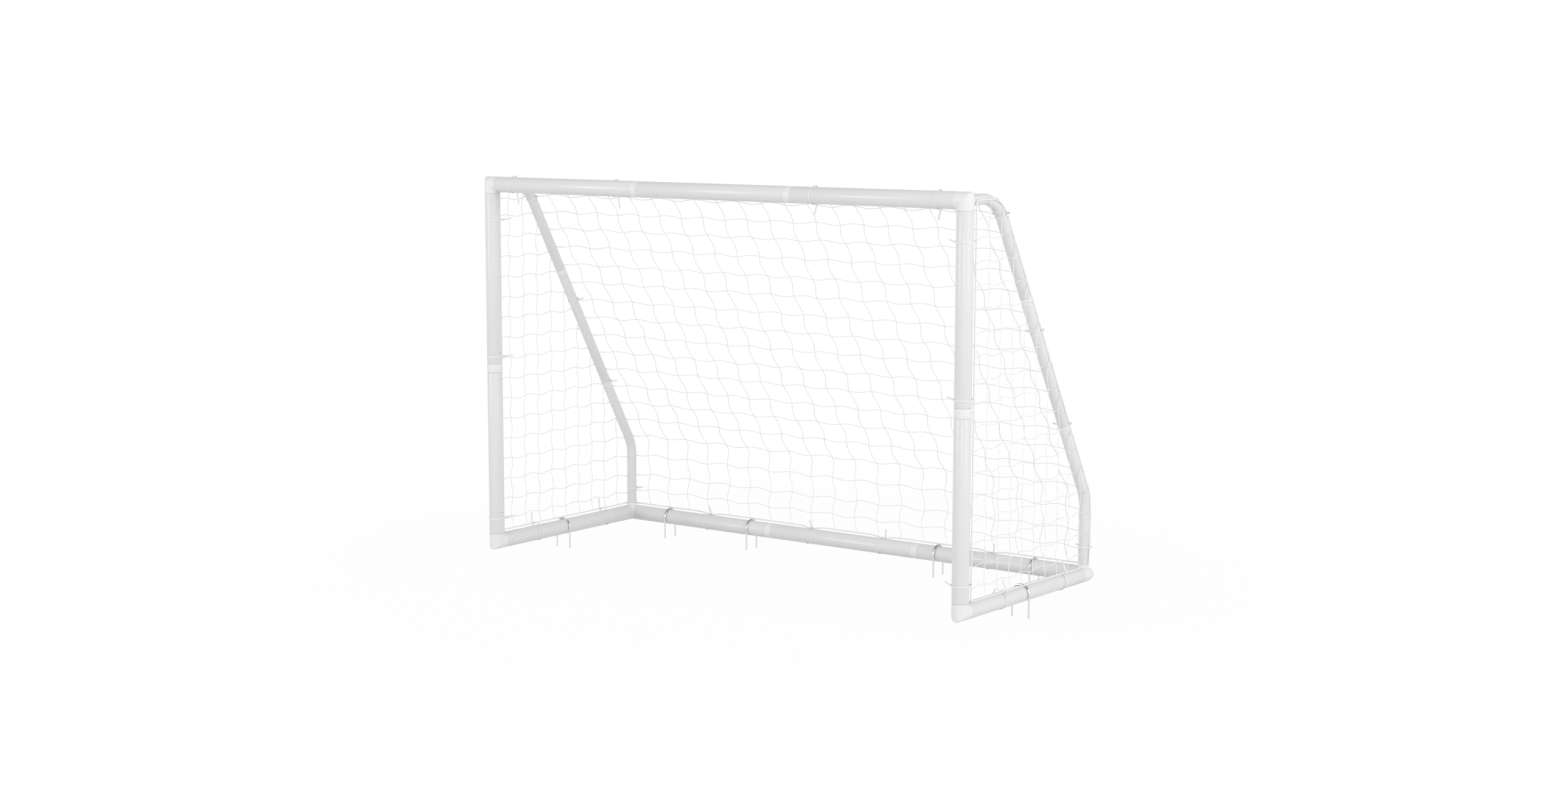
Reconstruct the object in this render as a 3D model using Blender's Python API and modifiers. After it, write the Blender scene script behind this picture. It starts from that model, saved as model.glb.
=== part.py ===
"""Junior football goal: a knock-down frame of white round pipe with push-button couplings,
moulded corner fittings, bent rear stays, netting, border ropes and wire ground pegs.

World frame: X across the mouth, Y from the mouth to the back, Z up, metres.
The origin is on the ground under the middle of the goal: the pegs' tips are at Z = 0.
Every piece hangs from one empty that stands at the foot of the mouth, on the axes of the
posts and of the base rails, so the places below are read from those two axes.
"""
import math

import bmesh
import bpy
from mathutils import Matrix, Vector

# Overall sizes of the pipe frame, outside to outside.
WIDTH = 1.83
HEIGHT = 1.22
DEPTH = 0.75

# Main pipe of posts, crossbar and base rails, and the lighter pipe of the stays.
PIPE_D = 0.050
PIPE_WALL = 0.0025
STAY_D = 0.032
STAY_WALL = 0.002

# Route of a stay: level behind the crossbar, down a slope, then upright on the rear corner.
STAY_TOP_RUN = 0.159
STAY_FOOT_RISE = 0.238
STAY_BEND_R = 0.120

# Moulded fittings: how far they reach past the pipe that they cross, and their spigots.
FITTING_REACH = 0.0025
TOP_STUB_REACH = 0.004
REAR_STUB_REACH = 0.007
SEAM_GAP = 0.0003
MITRE_ROUNDING = 0.0045
MITRE_INSIDE = 0.4
MITRE_STEPS = 3
SPIGOT_CLEARANCE = 0.0003
SPIGOT_WALL = 0.0024
PLAIN_SPIGOT = 0.045
STAY_SPIGOT = 0.034
SPIGOT_PAST_BUTTON = 0.015

# Couplings: the band that shows between two pipes, and where each one sits.
POST_BAND = 0.028
RAIL_BAND = 0.025
STAY_BAND = 0.025
POST_JOINT_RISE = 0.574
RAIL_JOINT_OFFSET = 0.290
STAY_JOINT_FROM_TOP = 0.3535
STAY_JOINT_FROM_FOOT = 0.2616

# Snap buttons: stud on a V-shaped leaf spring inside the spigot.
STUD_D = 0.0095
STUD_PROUD = 0.0018
STUD_CLEARANCE = 0.0004
LEAF_T = 0.0008
LEAF_W = 0.009
LEAF_L = 0.033
BUTTON_TRAVEL = 0.004
JOINT_BUTTON_UP = 0.0465
JOINT_BUTTON_DOWN = 0.040
FOOT_BUTTON_RISE = 0.0928
RAIL_BUTTON_BACK = 0.0565

# Ground pegs: a wire arch that straddles a rail, with its legs in the ground.
PEG_WIRE = 0.0055
PEG_CLEARANCE = 0.0003
PEG_DEPTH = 0.072
SIDE_PEG_BACK = 0.333
REAR_PEG_OFFSETS = (-0.72, -0.37, 0.37, 0.72)

# Border rope and netting.
ROPE_D = 0.0045
ROPE_CLEARANCE = 0.0003
ROPE_GAP = 0.0042
ROPE_CORNER_R = 0.004
STRAND = 0.0024
NET_STANDOFF = 0.0175
NET_INSET = 0.0040
NET_COLUMNS = 12
SLOPE_ROWS = 8
FOOT_ROWS = 2
FIRST_SIDE_COLUMN = 0.115

# Number of flat sides that stand for a round.
PIPE_SIDES = 20
STAY_SIDES = 12
STUD_SIDES = 12
BEND_STEPS = 5

# Axes and places that follow from the sizes above.
PIPE_R = PIPE_D / 2
STAY_R = STAY_D / 2
ROPE_R = ROPE_D / 2
ROPE_STANDOFF = PIPE_R + ROPE_GAP
POST_X = WIDTH / 2 - PIPE_R
BAR_Z = HEIGHT - PIPE_D
REAR_Y = DEPTH - PIPE_D
SEAM = PIPE_R + FITTING_REACH
TOP_STUB_SEAM = PIPE_R + TOP_STUB_REACH
REAR_STUB_SEAM = PIPE_R + REAR_STUB_REACH
SPIGOT_R = PIPE_R - PIPE_WALL - SPIGOT_CLEARANCE
SPIGOT_BORE_R = SPIGOT_R - SPIGOT_WALL
STAY_SPIGOT_R = STAY_R - STAY_WALL - SPIGOT_CLEARANCE
STAY_SPIGOT_BORE_R = STAY_SPIGOT_R - SPIGOT_WALL
PEG_HALF_GAUGE = PIPE_R + PEG_CLEARANCE + PEG_WIRE / 2
FOOT_POINT = Vector((0.0, -(REAR_Y + PEG_HALF_GAUGE + PEG_WIRE / 2 - PIPE_R) / 2, PEG_DEPTH))

# The stay's slope, its two bends and their tangent lengths.
SLOPE_ANGLE = math.atan2(BAR_Z - STAY_FOOT_RISE, REAR_Y - STAY_TOP_RUN)
SLOPE_LENGTH = math.hypot(BAR_Z - STAY_FOOT_RISE, REAR_Y - STAY_TOP_RUN)
FOOT_ANGLE = math.pi / 2 - SLOPE_ANGLE
TOP_TANGENT = STAY_BEND_R * math.tan(SLOPE_ANGLE / 2)
FOOT_TANGENT = STAY_BEND_R * math.tan(FOOT_ANGLE / 2)
LEVEL_END = STAY_TOP_RUN - TOP_TANGENT
SLOPE_START = LEVEL_END + STAY_BEND_R * SLOPE_ANGLE
SLOPE_END = SLOPE_START + SLOPE_LENGTH - TOP_TANGENT - FOOT_TANGENT
UPRIGHT_START = SLOPE_END + STAY_BEND_R * FOOT_ANGLE
ROUTE_END = UPRIGHT_START + STAY_FOOT_RISE - FOOT_TANGENT
UPPER_JOINT = SLOPE_START + STAY_JOINT_FROM_TOP - TOP_TANGENT
LOWER_JOINT = SLOPE_END - STAY_JOINT_FROM_FOOT + FOOT_TANGENT
ROPE_FOOT = ROUTE_END - ROPE_STANDOFF

WHITE_PIPE = ((0.76, 0.76, 0.77), 0.38, 0.0)
WHITE_MOULDING = ((0.82, 0.82, 0.82), 0.45, 0.0)
BRIGHT_WIRE = ((0.62, 0.62, 0.64), 0.18, 1.0)
SPRING_STEEL = ((0.55, 0.56, 0.58), 0.30, 1.0)
WHITE_CORD = ((0.84, 0.84, 0.84), 0.85, 0.0)


def clear_scene():
    for obj in list(bpy.data.objects):
        bpy.data.objects.remove(obj, do_unlink=True)


def new_collection(name):
    group = bpy.data.collections.new(name)
    bpy.context.scene.collection.children.link(group)
    return group


def finish_material(name, finish):
    colour, roughness, metallic = finish
    material = bpy.data.materials.new(name)
    material.use_nodes = True
    shader = material.node_tree.nodes["Principled BSDF"]
    shader.inputs["Base Color"].default_value = (*colour, 1.0)
    shader.inputs["Roughness"].default_value = roughness
    shader.inputs["Metallic"].default_value = metallic
    return material


def place(obj, location, axes=None):
    """Hang an object from the goal's empty; axes are the world directions of its X, Y and Z."""
    obj.parent = ROOT
    obj.location = location
    if axes is not None:
        obj.rotation_euler = Matrix(axes).transposed().to_euler()


def new_object(name, data, location, axes=None, group=None):
    obj = bpy.data.objects.new(name, data)
    (group or PARTS).objects.link(obj)
    place(obj, location, axes)
    return obj


def settled(obj, finish):
    """Apply the object's modifiers to its mesh, shade it and give it its own material."""
    bpy.context.view_layer.update()
    view = obj.evaluated_get(bpy.context.evaluated_depsgraph_get())
    mesh = bpy.data.meshes.new_from_object(view)
    obj.modifiers.clear()
    obj.data = mesh
    mesh.name = obj.name
    mesh.shade_smooth()
    mesh.set_sharp_from_angle(angle=math.radians(35))
    mesh.materials.clear()
    mesh.materials.append(finish_material(obj.name + " finish", finish))
    return obj


def across_corners(flat_radius, sides):
    """Radius at the corners of a regular outline whose flats lie at flat_radius."""
    return flat_radius / math.cos(math.pi / sides)


def turned_mesh(name, outline, closed=True):
    """Outline of (radius, height) points, drawn down the outer side first."""
    mesh = bpy.data.meshes.new(name)
    form = bmesh.new()
    points = [form.verts.new((radius, 0.0, height)) for radius, height in outline]
    last = len(points) if closed else len(points) - 1
    for index in range(last):
        form.edges.new((points[index], points[(index + 1) % len(points)]))
    form.to_mesh(mesh)
    form.free()
    return mesh


def turn(obj, sides):
    """Turn the object's outline round its Z, with flats on its X and Y directions."""
    obj.data.transform(Matrix.Rotation(math.pi / sides, 4, "Z"))
    screw = obj.modifiers.new("Turn", "SCREW")
    screw.axis = "Z"
    screw.angle = 2 * math.pi
    screw.steps = sides
    screw.render_steps = sides
    screw.use_merge_vertices = True
    screw.merge_threshold = 0.00001


def pipe_outline(length, flat_radius, wall, sides):
    outer = across_corners(flat_radius, sides)
    inner = across_corners(flat_radius - wall, sides)
    return [(outer, length), (outer, 0.0), (inner, 0.0), (inner, length)]


def boolean(obj, other, operation):
    step = obj.modifiers.new(operation.title(), "BOOLEAN")
    step.operation = operation
    step.solver = "EXACT"
    step.object = other


def straight_pipe(name, start, end, holes=()):
    """Main pipe between two points, cut by the button holes that fall in it."""
    run = Vector(end) - Vector(start)
    outline = pipe_outline(run.length, PIPE_R, PIPE_WALL, PIPE_SIDES)
    along = run.normalized()
    side = Vector((0, 1, 0)) if abs(along.y) < 0.5 else Vector((1, 0, 0))
    axes = (side.cross(along), side, along)
    obj = new_object(name, turned_mesh(name, outline), start, axes)
    turn(obj, PIPE_SIDES)
    for cutter in holes:
        boolean(obj, cutter, "DIFFERENCE")
    return settled(obj, WHITE_PIPE)


def stay_route(station):
    """Point (y, z) and heading below level of the stay's axis at a distance along it."""
    if station <= LEVEL_END:
        return station, BAR_Z, 0.0
    if station <= SLOPE_START:
        angle = (station - LEVEL_END) / STAY_BEND_R
        return (LEVEL_END + STAY_BEND_R * math.sin(angle),
                BAR_Z - STAY_BEND_R * (1 - math.cos(angle)), angle)
    slope_y = LEVEL_END + STAY_BEND_R * math.sin(SLOPE_ANGLE)
    slope_z = BAR_Z - STAY_BEND_R * (1 - math.cos(SLOPE_ANGLE))
    run = min(station, SLOPE_END) - SLOPE_START
    slope_y += run * math.cos(SLOPE_ANGLE)
    slope_z -= run * math.sin(SLOPE_ANGLE)
    if station <= SLOPE_END:
        return slope_y, slope_z, SLOPE_ANGLE
    angle = SLOPE_ANGLE + (min(station, UPRIGHT_START) - SLOPE_END) / STAY_BEND_R
    bend_y = slope_y + STAY_BEND_R * (math.sin(angle) - math.sin(SLOPE_ANGLE))
    bend_z = slope_z + STAY_BEND_R * (math.cos(angle) - math.cos(SLOPE_ANGLE))
    if station <= UPRIGHT_START:
        return bend_y, bend_z, angle
    return REAR_Y, bend_z - (station - UPRIGHT_START), math.pi / 2


def beside_stay(station, outward, sideways, side):
    """A point beside the stay's axis: outward from the goal in its plane, and sideways."""
    y, z, heading = stay_route(station)
    return Vector((side * (POST_X + sideways), y + outward * math.sin(heading),
                   z + outward * math.cos(heading)))


def stay_stations(start, end):
    """Stations that follow the stay's bends between two stations."""
    stations = [start]
    for first, last, angle in ((LEVEL_END, SLOPE_START, SLOPE_ANGLE),
                               (SLOPE_END, UPRIGHT_START, FOOT_ANGLE)):
        steps = max(2, round(BEND_STEPS * angle / SLOPE_ANGLE))
        stations += [first + (last - first) * step / steps for step in range(steps + 1)]
    return [start] + [s for s in stations[1:] if start + 1e-5 < s < end - 1e-5] + [end]


def wire_curve(name, points, radius, resolution, caps=True, closed=False, tilt=0.0):
    curve = bpy.data.curves.new(name, "CURVE")
    curve.dimensions = "3D"
    curve.bevel_depth = radius
    curve.bevel_resolution = resolution
    curve.use_fill_caps = caps
    spline = curve.splines.new("POLY")
    spline.points.add(len(points) - 1)
    for knot, point in zip(spline.points, points):
        knot.co = (*point, 1.0)
        knot.radius = 1.0
        knot.tilt = tilt
    spline.use_cyclic_u = closed
    return curve


def curve_to_mesh(curve_object):
    """The mesh of a curve object, its caps welded; the curve is removed."""
    bpy.context.view_layer.update()
    view = curve_object.evaluated_get(bpy.context.evaluated_depsgraph_get())
    mesh = bpy.data.meshes.new_from_object(view)
    form = bmesh.new()
    form.from_mesh(mesh)
    bmesh.ops.remove_doubles(form, verts=form.verts, dist=0.000001)
    form.to_mesh(mesh)
    form.free()
    bpy.data.objects.remove(curve_object, do_unlink=True)
    return mesh


def bent_stay(name, side, start, end):
    """Stay pipe along its route: a swept skin thickened to the wall on both sides."""
    points = [beside_stay(station, 0.0, 0.0, side) for station in stay_stations(start, end)]
    middle = across_corners(STAY_R, STAY_SIDES) - STAY_WALL / 2
    curve = wire_curve(name + "_line", points, middle, (STAY_SIDES - 4) // 2, caps=False,
                       tilt=math.pi / STAY_SIDES)
    mesh = curve_to_mesh(new_object(name + "_line", curve, (0, 0, 0)))
    obj = new_object(name, mesh, (0, 0, 0))
    shell = obj.modifiers.new("Wall", "SOLIDIFY")
    shell.thickness = STAY_WALL
    shell.offset = 0.0
    return settled(obj, WHITE_PIPE)


def coupling_outline(band, body_r, spigot_r, bore_r, up, down, sides):
    """Band flush with the pipes and a thinner hollow spigot at both ends."""
    body = across_corners(body_r, sides)
    bore = across_corners(bore_r, sides)
    half = band / 2
    return [(spigot_r, up), (spigot_r, half), (body, half), (body, -half),
            (spigot_r, -half), (spigot_r, -down), (bore, -down), (bore, up)]


def main_coupling(name, centre, axes, up, down, holes=()):
    outline = coupling_outline(axes[1], PIPE_R, SPIGOT_R, SPIGOT_BORE_R, up, down, PIPE_SIDES)
    obj = new_object(name, turned_mesh(name, outline), centre, axes[0])
    turn(obj, PIPE_SIDES)
    for cutter in holes:
        boolean(obj, cutter, "DIFFERENCE")
    return settled(obj, WHITE_MOULDING)


def stay_coupling(name, side, station):
    outline = coupling_outline(STAY_BAND, STAY_R, STAY_SPIGOT_R, STAY_SPIGOT_BORE_R,
                               STAY_BAND / 2 + STAY_SPIGOT, STAY_BAND / 2 + STAY_SPIGOT,
                               STAY_SIDES)
    heading = stay_route(station)[2]
    along = Vector((0, math.cos(heading), -math.sin(heading)))
    across = Vector((1, 0, 0))
    obj = new_object(name, turned_mesh(name, outline), beside_stay(station, 0, 0, side),
                     (across, along.cross(across), along))
    turn(obj, STAY_SIDES)
    return settled(obj, WHITE_MOULDING)


def mitred_elbow(name, down_end, side_end):
    """Hollow right-angle fitting: legs along -Z and +X, mitred at the corner, with spigots.

    Each ring of the skin is one radius at one distance along a leg, or on the mitre plane.
    """
    body = across_corners(PIPE_R, PIPE_SIDES)
    bore = across_corners(SPIGOT_BORE_R, PIPE_SIDES)
    rings = [("down", SPIGOT_R, down_end), ("down", SPIGOT_R, SEAM), ("down", body, SEAM),
             ("mitre", body, 0.0), ("side", body, SEAM), ("side", SPIGOT_R, SEAM),
             ("side", SPIGOT_R, side_end), ("side", bore, side_end), ("mitre", bore, 0.0),
             ("down", bore, down_end)]
    form = bmesh.new()
    skin = []
    for leg, radius, distance in rings:
        loop = []
        for step in range(PIPE_SIDES):
            angle = math.pi * (2 * step + 1) / PIPE_SIDES
            across, depth = radius * math.cos(angle), radius * math.sin(angle)
            point = {"down": (across, depth, -distance),
                     "mitre": (across, depth, -across),
                     "side": (distance, depth, -across)}[leg]
            loop.append(form.verts.new(point))
        skin.append(loop)
    for ring, following in zip(skin, skin[1:] + skin[:1]):
        for step in range(PIPE_SIDES):
            after = (step + 1) % PIPE_SIDES
            form.faces.new((ring[step], ring[after], following[after], following[step]))
    bmesh.ops.recalc_face_normals(form, faces=form.faces)
    weights = form.edges.layers.float.new("bevel_weight_edge")
    ring = set(skin[3])
    for edge in form.edges:
        if ring.issuperset(edge.verts):
            inward = (edge.verts[0].co.x + edge.verts[1].co.x) / 2 / PIPE_R
            edge[weights] = (1 + MITRE_INSIDE - (1 - MITRE_INSIDE) * inward) / 2
    mesh = bpy.data.meshes.new(name)
    form.to_mesh(mesh)
    form.free()
    return mesh


def round_mitre(obj):
    """Rounding of the mitred edge, full on the outside of the corner and less on the inside."""
    step = obj.modifiers.new("Mitre", "BEVEL")
    step.limit_method = "WEIGHT"
    step.width = MITRE_ROUNDING
    step.segments = MITRE_STEPS
    step.use_clamp_overlap = False


def stay_stub(name, seam, parent_axes, location, sign):
    """Turned stub with its spigot, rooted in the elbow's wall on the elbow's Y side."""
    body = across_corners(STAY_R, STAY_SIDES)
    bore = across_corners(STAY_SPIGOT_BORE_R, STAY_SIDES)
    root = math.sqrt(PIPE_R ** 2 - STAY_R ** 2) - PIPE_WALL / 2
    tip = seam + STAY_SPIGOT
    outline = [(STAY_SPIGOT_R, tip), (STAY_SPIGOT_R, seam), (body, seam), (body, root),
               (bore, root), (bore, tip)]
    local_x, local_y, local_z = (Vector(axis) for axis in parent_axes)
    along = local_y * sign
    obj = new_object(name, turned_mesh(name, outline), location,
                     (local_x, along.cross(local_x), along), CUTTERS)
    turn(obj, STAY_SIDES)
    obj.hide_render = True
    obj.display_type = "WIRE"
    return obj


def corner_fitting(name, location, axes, down_end, side_end, stub=None, holes=()):
    obj = new_object(name, mitred_elbow(name, down_end, side_end), location, axes)
    round_mitre(obj)
    if stub is not None:
        seam, sign = stub
        boolean(obj, stay_stub(name + "_stub", seam, axes, location, sign), "UNION")
    for cutter in holes:
        boolean(obj, cutter, "DIFFERENCE")
    return settled(obj, WHITE_MOULDING)


def button_hole(name, centre, outward):
    """Round hole through pipe and spigot, from the bore to past the outside."""
    obj = new_object(name, cylinder_mesh(name, STUD_D / 2 + STUD_CLEARANCE, PIPE_R), centre,
                     leaf_axes(outward), CUTTERS)
    obj.hide_render = True
    obj.display_type = "WIRE"
    return obj


def cylinder_mesh(name, radius, length):
    """Cylinder along +X from a third of its length out, used for the button holes."""
    mesh = bpy.data.meshes.new(name)
    form = bmesh.new()
    bmesh.ops.create_cone(form, cap_ends=True, segments=STUD_SIDES,
                          radius1=across_corners(radius, STUD_SIDES),
                          radius2=across_corners(radius, STUD_SIDES), depth=length,
                          matrix=Matrix.Translation((length, 0, 0))
                          @ Matrix.Rotation(math.pi / 2, 4, "Y"))
    form.to_mesh(mesh)
    form.free()
    return mesh


def leaf_axes(outward):
    """Axes of a snap button: X out of the pipe, Z along the pipe, given as (X, Z)."""
    out, along = Vector(outward[0]), Vector(outward[1])
    return out, along.cross(out), along


def snap_button(name, centre, outward):
    """Domed stud on one end of a folded leaf that bears on the far side of the bore."""
    near = SPIGOT_BORE_R - 0.0020
    far = -(SPIGOT_BORE_R - 0.0010 - BUTTON_TRAVEL)
    line = [(near, -0.007), (near, LEAF_L - 0.008), (near - 0.0025, LEAF_L),
            (near - 0.0080, LEAF_L - 0.002), (far, 0.004)]
    form = bmesh.new()
    knots = [form.verts.new((out, -LEAF_W / 2, along)) for out, along in line]
    for first, second in zip(knots, knots[1:]):
        form.edges.new((first, second))
    strip = bmesh.ops.extrude_edge_only(form, edges=form.edges[:])
    moved = [item for item in strip["geom"] if isinstance(item, bmesh.types.BMVert)]
    bmesh.ops.translate(form, verts=moved, vec=(0, LEAF_W, 0))
    mesh = bpy.data.meshes.new(name)
    form.to_mesh(mesh)
    form.free()
    axes = leaf_axes(outward)
    obj = new_object(name, mesh, centre, axes)
    leaf = obj.modifiers.new("Leaf", "SOLIDIFY")
    leaf.thickness = LEAF_T
    leaf.offset = 0.0
    radius = across_corners(STUD_D / 2, STUD_SIDES)
    crown = PIPE_R + STUD_PROUD
    outline = [(0.0, crown), (radius * 0.62, crown - 0.0006), (radius, crown - 0.0022),
               (radius, near), (0.0, near)]
    stud = new_object(name + "_stud", turned_mesh(name + "_stud", outline, closed=False),
                      centre, (axes[1], axes[2], axes[0]), CUTTERS)
    turn(stud, STUD_SIDES)
    stud.hide_render = True
    stud.display_type = "WIRE"
    boolean(obj, stud, "UNION")
    return settled(obj, SPRING_STEEL)


def ground_peg(name, location, across):
    """Wire arch round the rail's flats, with two straight legs; across is its plane."""
    reach = PEG_HALF_GAUGE / math.cos(math.pi / PIPE_SIDES)
    points = [(PEG_HALF_GAUGE, -PEG_DEPTH)]
    for step in range(PIPE_SIDES // 2):
        angle = math.pi * (2 * step + 1) / PIPE_SIDES
        points.append((reach * math.cos(angle), reach * math.sin(angle)))
    points.append((-PEG_HALF_GAUGE, -PEG_DEPTH))
    wire = [Vector(across) * out + Vector((0, 0, height)) for out, height in points]
    curve = wire_curve(name, wire, PEG_WIRE / 2, 2)
    curve.materials.append(finish_material(name + " finish", BRIGHT_WIRE))
    return new_object(name, curve, location)


def rope_angle(station):
    """How far round the stay the rope has moved from its outer side, in radians."""
    rising = (station - LEVEL_END) / (SLOPE_START - LEVEL_END)
    falling = (ROPE_FOOT - station) / (ROPE_FOOT - UPRIGHT_START)
    return math.pi / 4 * max(0.0, min(1.0, rising, falling))


def upright_stations():
    """Stations down the stay's foot where the rope moves back to its outer side."""
    return [UPRIGHT_START + (ROPE_FOOT - UPRIGHT_START) * step / 3 for step in (1, 2, 3)]


def rope_offset():
    return across_corners(STAY_R, STAY_SIDES) + ROPE_CLEARANCE + ROPE_R


def rope_on_stay(station, side):
    angle = rope_angle(station)
    return beside_stay(station, rope_offset() * math.sin(angle),
                       rope_offset() * math.cos(angle), side)


def rounded(points, radius, steps=3):
    """Closed line with each corner that turns sharply replaced by a short curve."""
    line = []
    for index, corner in enumerate(points):
        before = (points[index - 1] - corner).normalized()
        after = (points[(index + 1) % len(points)] - corner).normalized()
        if before.angle(after) > math.radians(150):
            line.append(corner)
            continue
        for step in range(steps + 1):
            share = step / steps
            line.append(corner + before * radius * (1 - share) ** 2
                        + after * radius * share ** 2)
    return line


def side_rope(name, side):
    """Border rope of one side: up behind the post, along the stay, back over the rail."""
    out = side * (POST_X + NET_STANDOFF)
    points = [Vector((out, ROPE_STANDOFF, ROPE_STANDOFF))]
    points += [rope_on_stay(TOP_STUB_SEAM, side)]
    points += [rope_on_stay(station, side)
               for station in stay_stations(LEVEL_END, UPRIGHT_START) + upright_stations()]
    curve = wire_curve(name, rounded(points, ROPE_CORNER_R), ROPE_R, 1, caps=False,
                       closed=True)
    curve.materials.append(finish_material(name + " finish", WHITE_CORD))
    return new_object(name, curve, (0, 0, 0))


def straight_rope(name, start, end):
    curve = wire_curve(name, [Vector(start), Vector(end)], ROPE_R, 1)
    curve.materials.append(finish_material(name + " finish", WHITE_CORD))
    return new_object(name, curve, (0, 0, 0))


def strand_net(obj):
    """Turn each edge of a flat mesh into a strand."""
    strands = obj.modifiers.new("Strands", "WIREFRAME")
    strands.thickness = STRAND
    strands.offset = 0.0
    strands.use_even_offset = True
    strands.use_relative_offset = False
    strands.use_boundary = True
    strands.use_replace = True
    return settled(obj, WHITE_CORD)


def back_panel(name, rows):
    """Net panel across the goal whose rows lie at the given (y, z) points."""
    half = POST_X + rope_offset() * math.cos(math.pi / 4) - NET_INSET
    form = bmesh.new()
    bmesh.ops.create_grid(form, x_segments=NET_COLUMNS, y_segments=len(rows) - 1, size=1.0)
    for vert in form.verts:
        row = round((vert.co.y + 1) / 2 * (len(rows) - 1))
        vert.co = (vert.co.x * half, rows[row][0], rows[row][1])
    mesh = bpy.data.meshes.new(name)
    form.to_mesh(mesh)
    form.free()
    return strand_net(new_object(name, mesh, (0, 0, 0)))


def net_point(station, outward):
    y, z, heading = stay_route(station)
    return (y + outward * math.sin(heading), z + outward * math.cos(heading))


def slope_stations():
    """Rows of the slope: from the end of the top bend to the corner above the foot."""
    last = SLOPE_END + FOOT_TANGENT
    return [SLOPE_START + (last - SLOPE_START) * row / SLOPE_ROWS
            for row in range(SLOPE_ROWS + 1)]


def slope_point(station, outward):
    """Point on the slope's line, also past its ends, at a distance outward from it."""
    y, z, heading = stay_route(SLOPE_START)
    run = station - SLOPE_START
    return (y + run * math.cos(heading) + outward * math.sin(heading),
            z - run * math.sin(heading) + outward * math.cos(heading))


def back_rows():
    """Rows of the three back panels: over the top, down the slope and above the rear rail."""
    part = (STRAND + SEAM_GAP) / 2 + 0.0003
    corner_out = (STAY_BEND_R + NET_STANDOFF) / math.cos(SLOPE_ANGLE / 4) - STAY_BEND_R
    bend = SLOPE_START - LEVEL_END
    front = ROPE_STANDOFF + NET_INSET
    top = [(front, BAR_Z + NET_STANDOFF), net_point(LEVEL_END + bend / 4, corner_out),
           net_point(LEVEL_END + bend * 3 / 4, corner_out),
           slope_point(SLOPE_START - part, NET_STANDOFF)]
    stations = slope_stations()
    stations[0] += part
    corner_y = REAR_Y + NET_STANDOFF
    reach = (corner_y - slope_point(SLOPE_START, NET_STANDOFF)[0]) / math.cos(SLOPE_ANGLE)
    stations[-1] = SLOPE_START + reach - part
    slope = [slope_point(station, NET_STANDOFF) for station in stations]
    corner_z = slope_point(SLOPE_START + reach, NET_STANDOFF)[1] - part
    low = ROPE_STANDOFF + NET_INSET
    foot = [(corner_y, corner_z + (low - corner_z) * row / FOOT_ROWS)
            for row in range(FOOT_ROWS + 1)]
    return top, slope, foot


def side_outline():
    """Outline of a side panel as (y, z): front, under the stay, down the foot, above the rail."""
    def border(station):
        y, z, heading = stay_route(station)
        outward = rope_offset() * math.sin(rope_angle(station)) - NET_INSET
        return (y + outward * math.sin(heading), z + outward * math.cos(heading))
    low = front = ROPE_STANDOFF + NET_INSET
    head = border(LEVEL_END)
    outline = [(front, low), (front, head[1])]
    outline += [border(station) for station in stay_stations(LEVEL_END, SLOPE_START)]
    outline += [border(station) for station in stay_stations(SLOPE_END, UPRIGHT_START)]
    outline += [border(station) for station in upright_stations()[:2]]
    outline.append((border(ROPE_FOOT)[0], low))
    return outline, border


def side_panel(name, side):
    """Side net panel: its outline cut into cells by upright and level lines."""
    out = side * (POST_X + NET_STANDOFF)
    outline, border = side_outline()
    form = bmesh.new()
    corners = [form.verts.new((out, y, z)) for y, z in outline]
    form.faces.new(corners)
    marks = [border(station) for station in slope_stations()[:-1]]
    uprights = [FIRST_SIDE_COLUMN] + [mark[0] for mark in marks[::2]]
    low = outline[0][1]
    levels = [mark[1] for mark in marks]
    levels += [low + (levels[-1] - low) * share for share in (1 / 3, 2 / 3)]
    for point, normal in [((0, y, 0), (0, 1, 0)) for y in uprights] + [
            ((0, 0, z), (0, 0, 1)) for z in levels]:
        bmesh.ops.bisect_plane(form, geom=form.verts[:] + form.edges[:] + form.faces[:],
                               dist=0.00002, plane_co=point, plane_no=normal)
    bmesh.ops.remove_doubles(form, verts=form.verts, dist=0.002)
    mesh = bpy.data.meshes.new(name)
    form.to_mesh(mesh)
    form.free()
    return strand_net(new_object(name, mesh, (0, 0, 0)))


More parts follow.
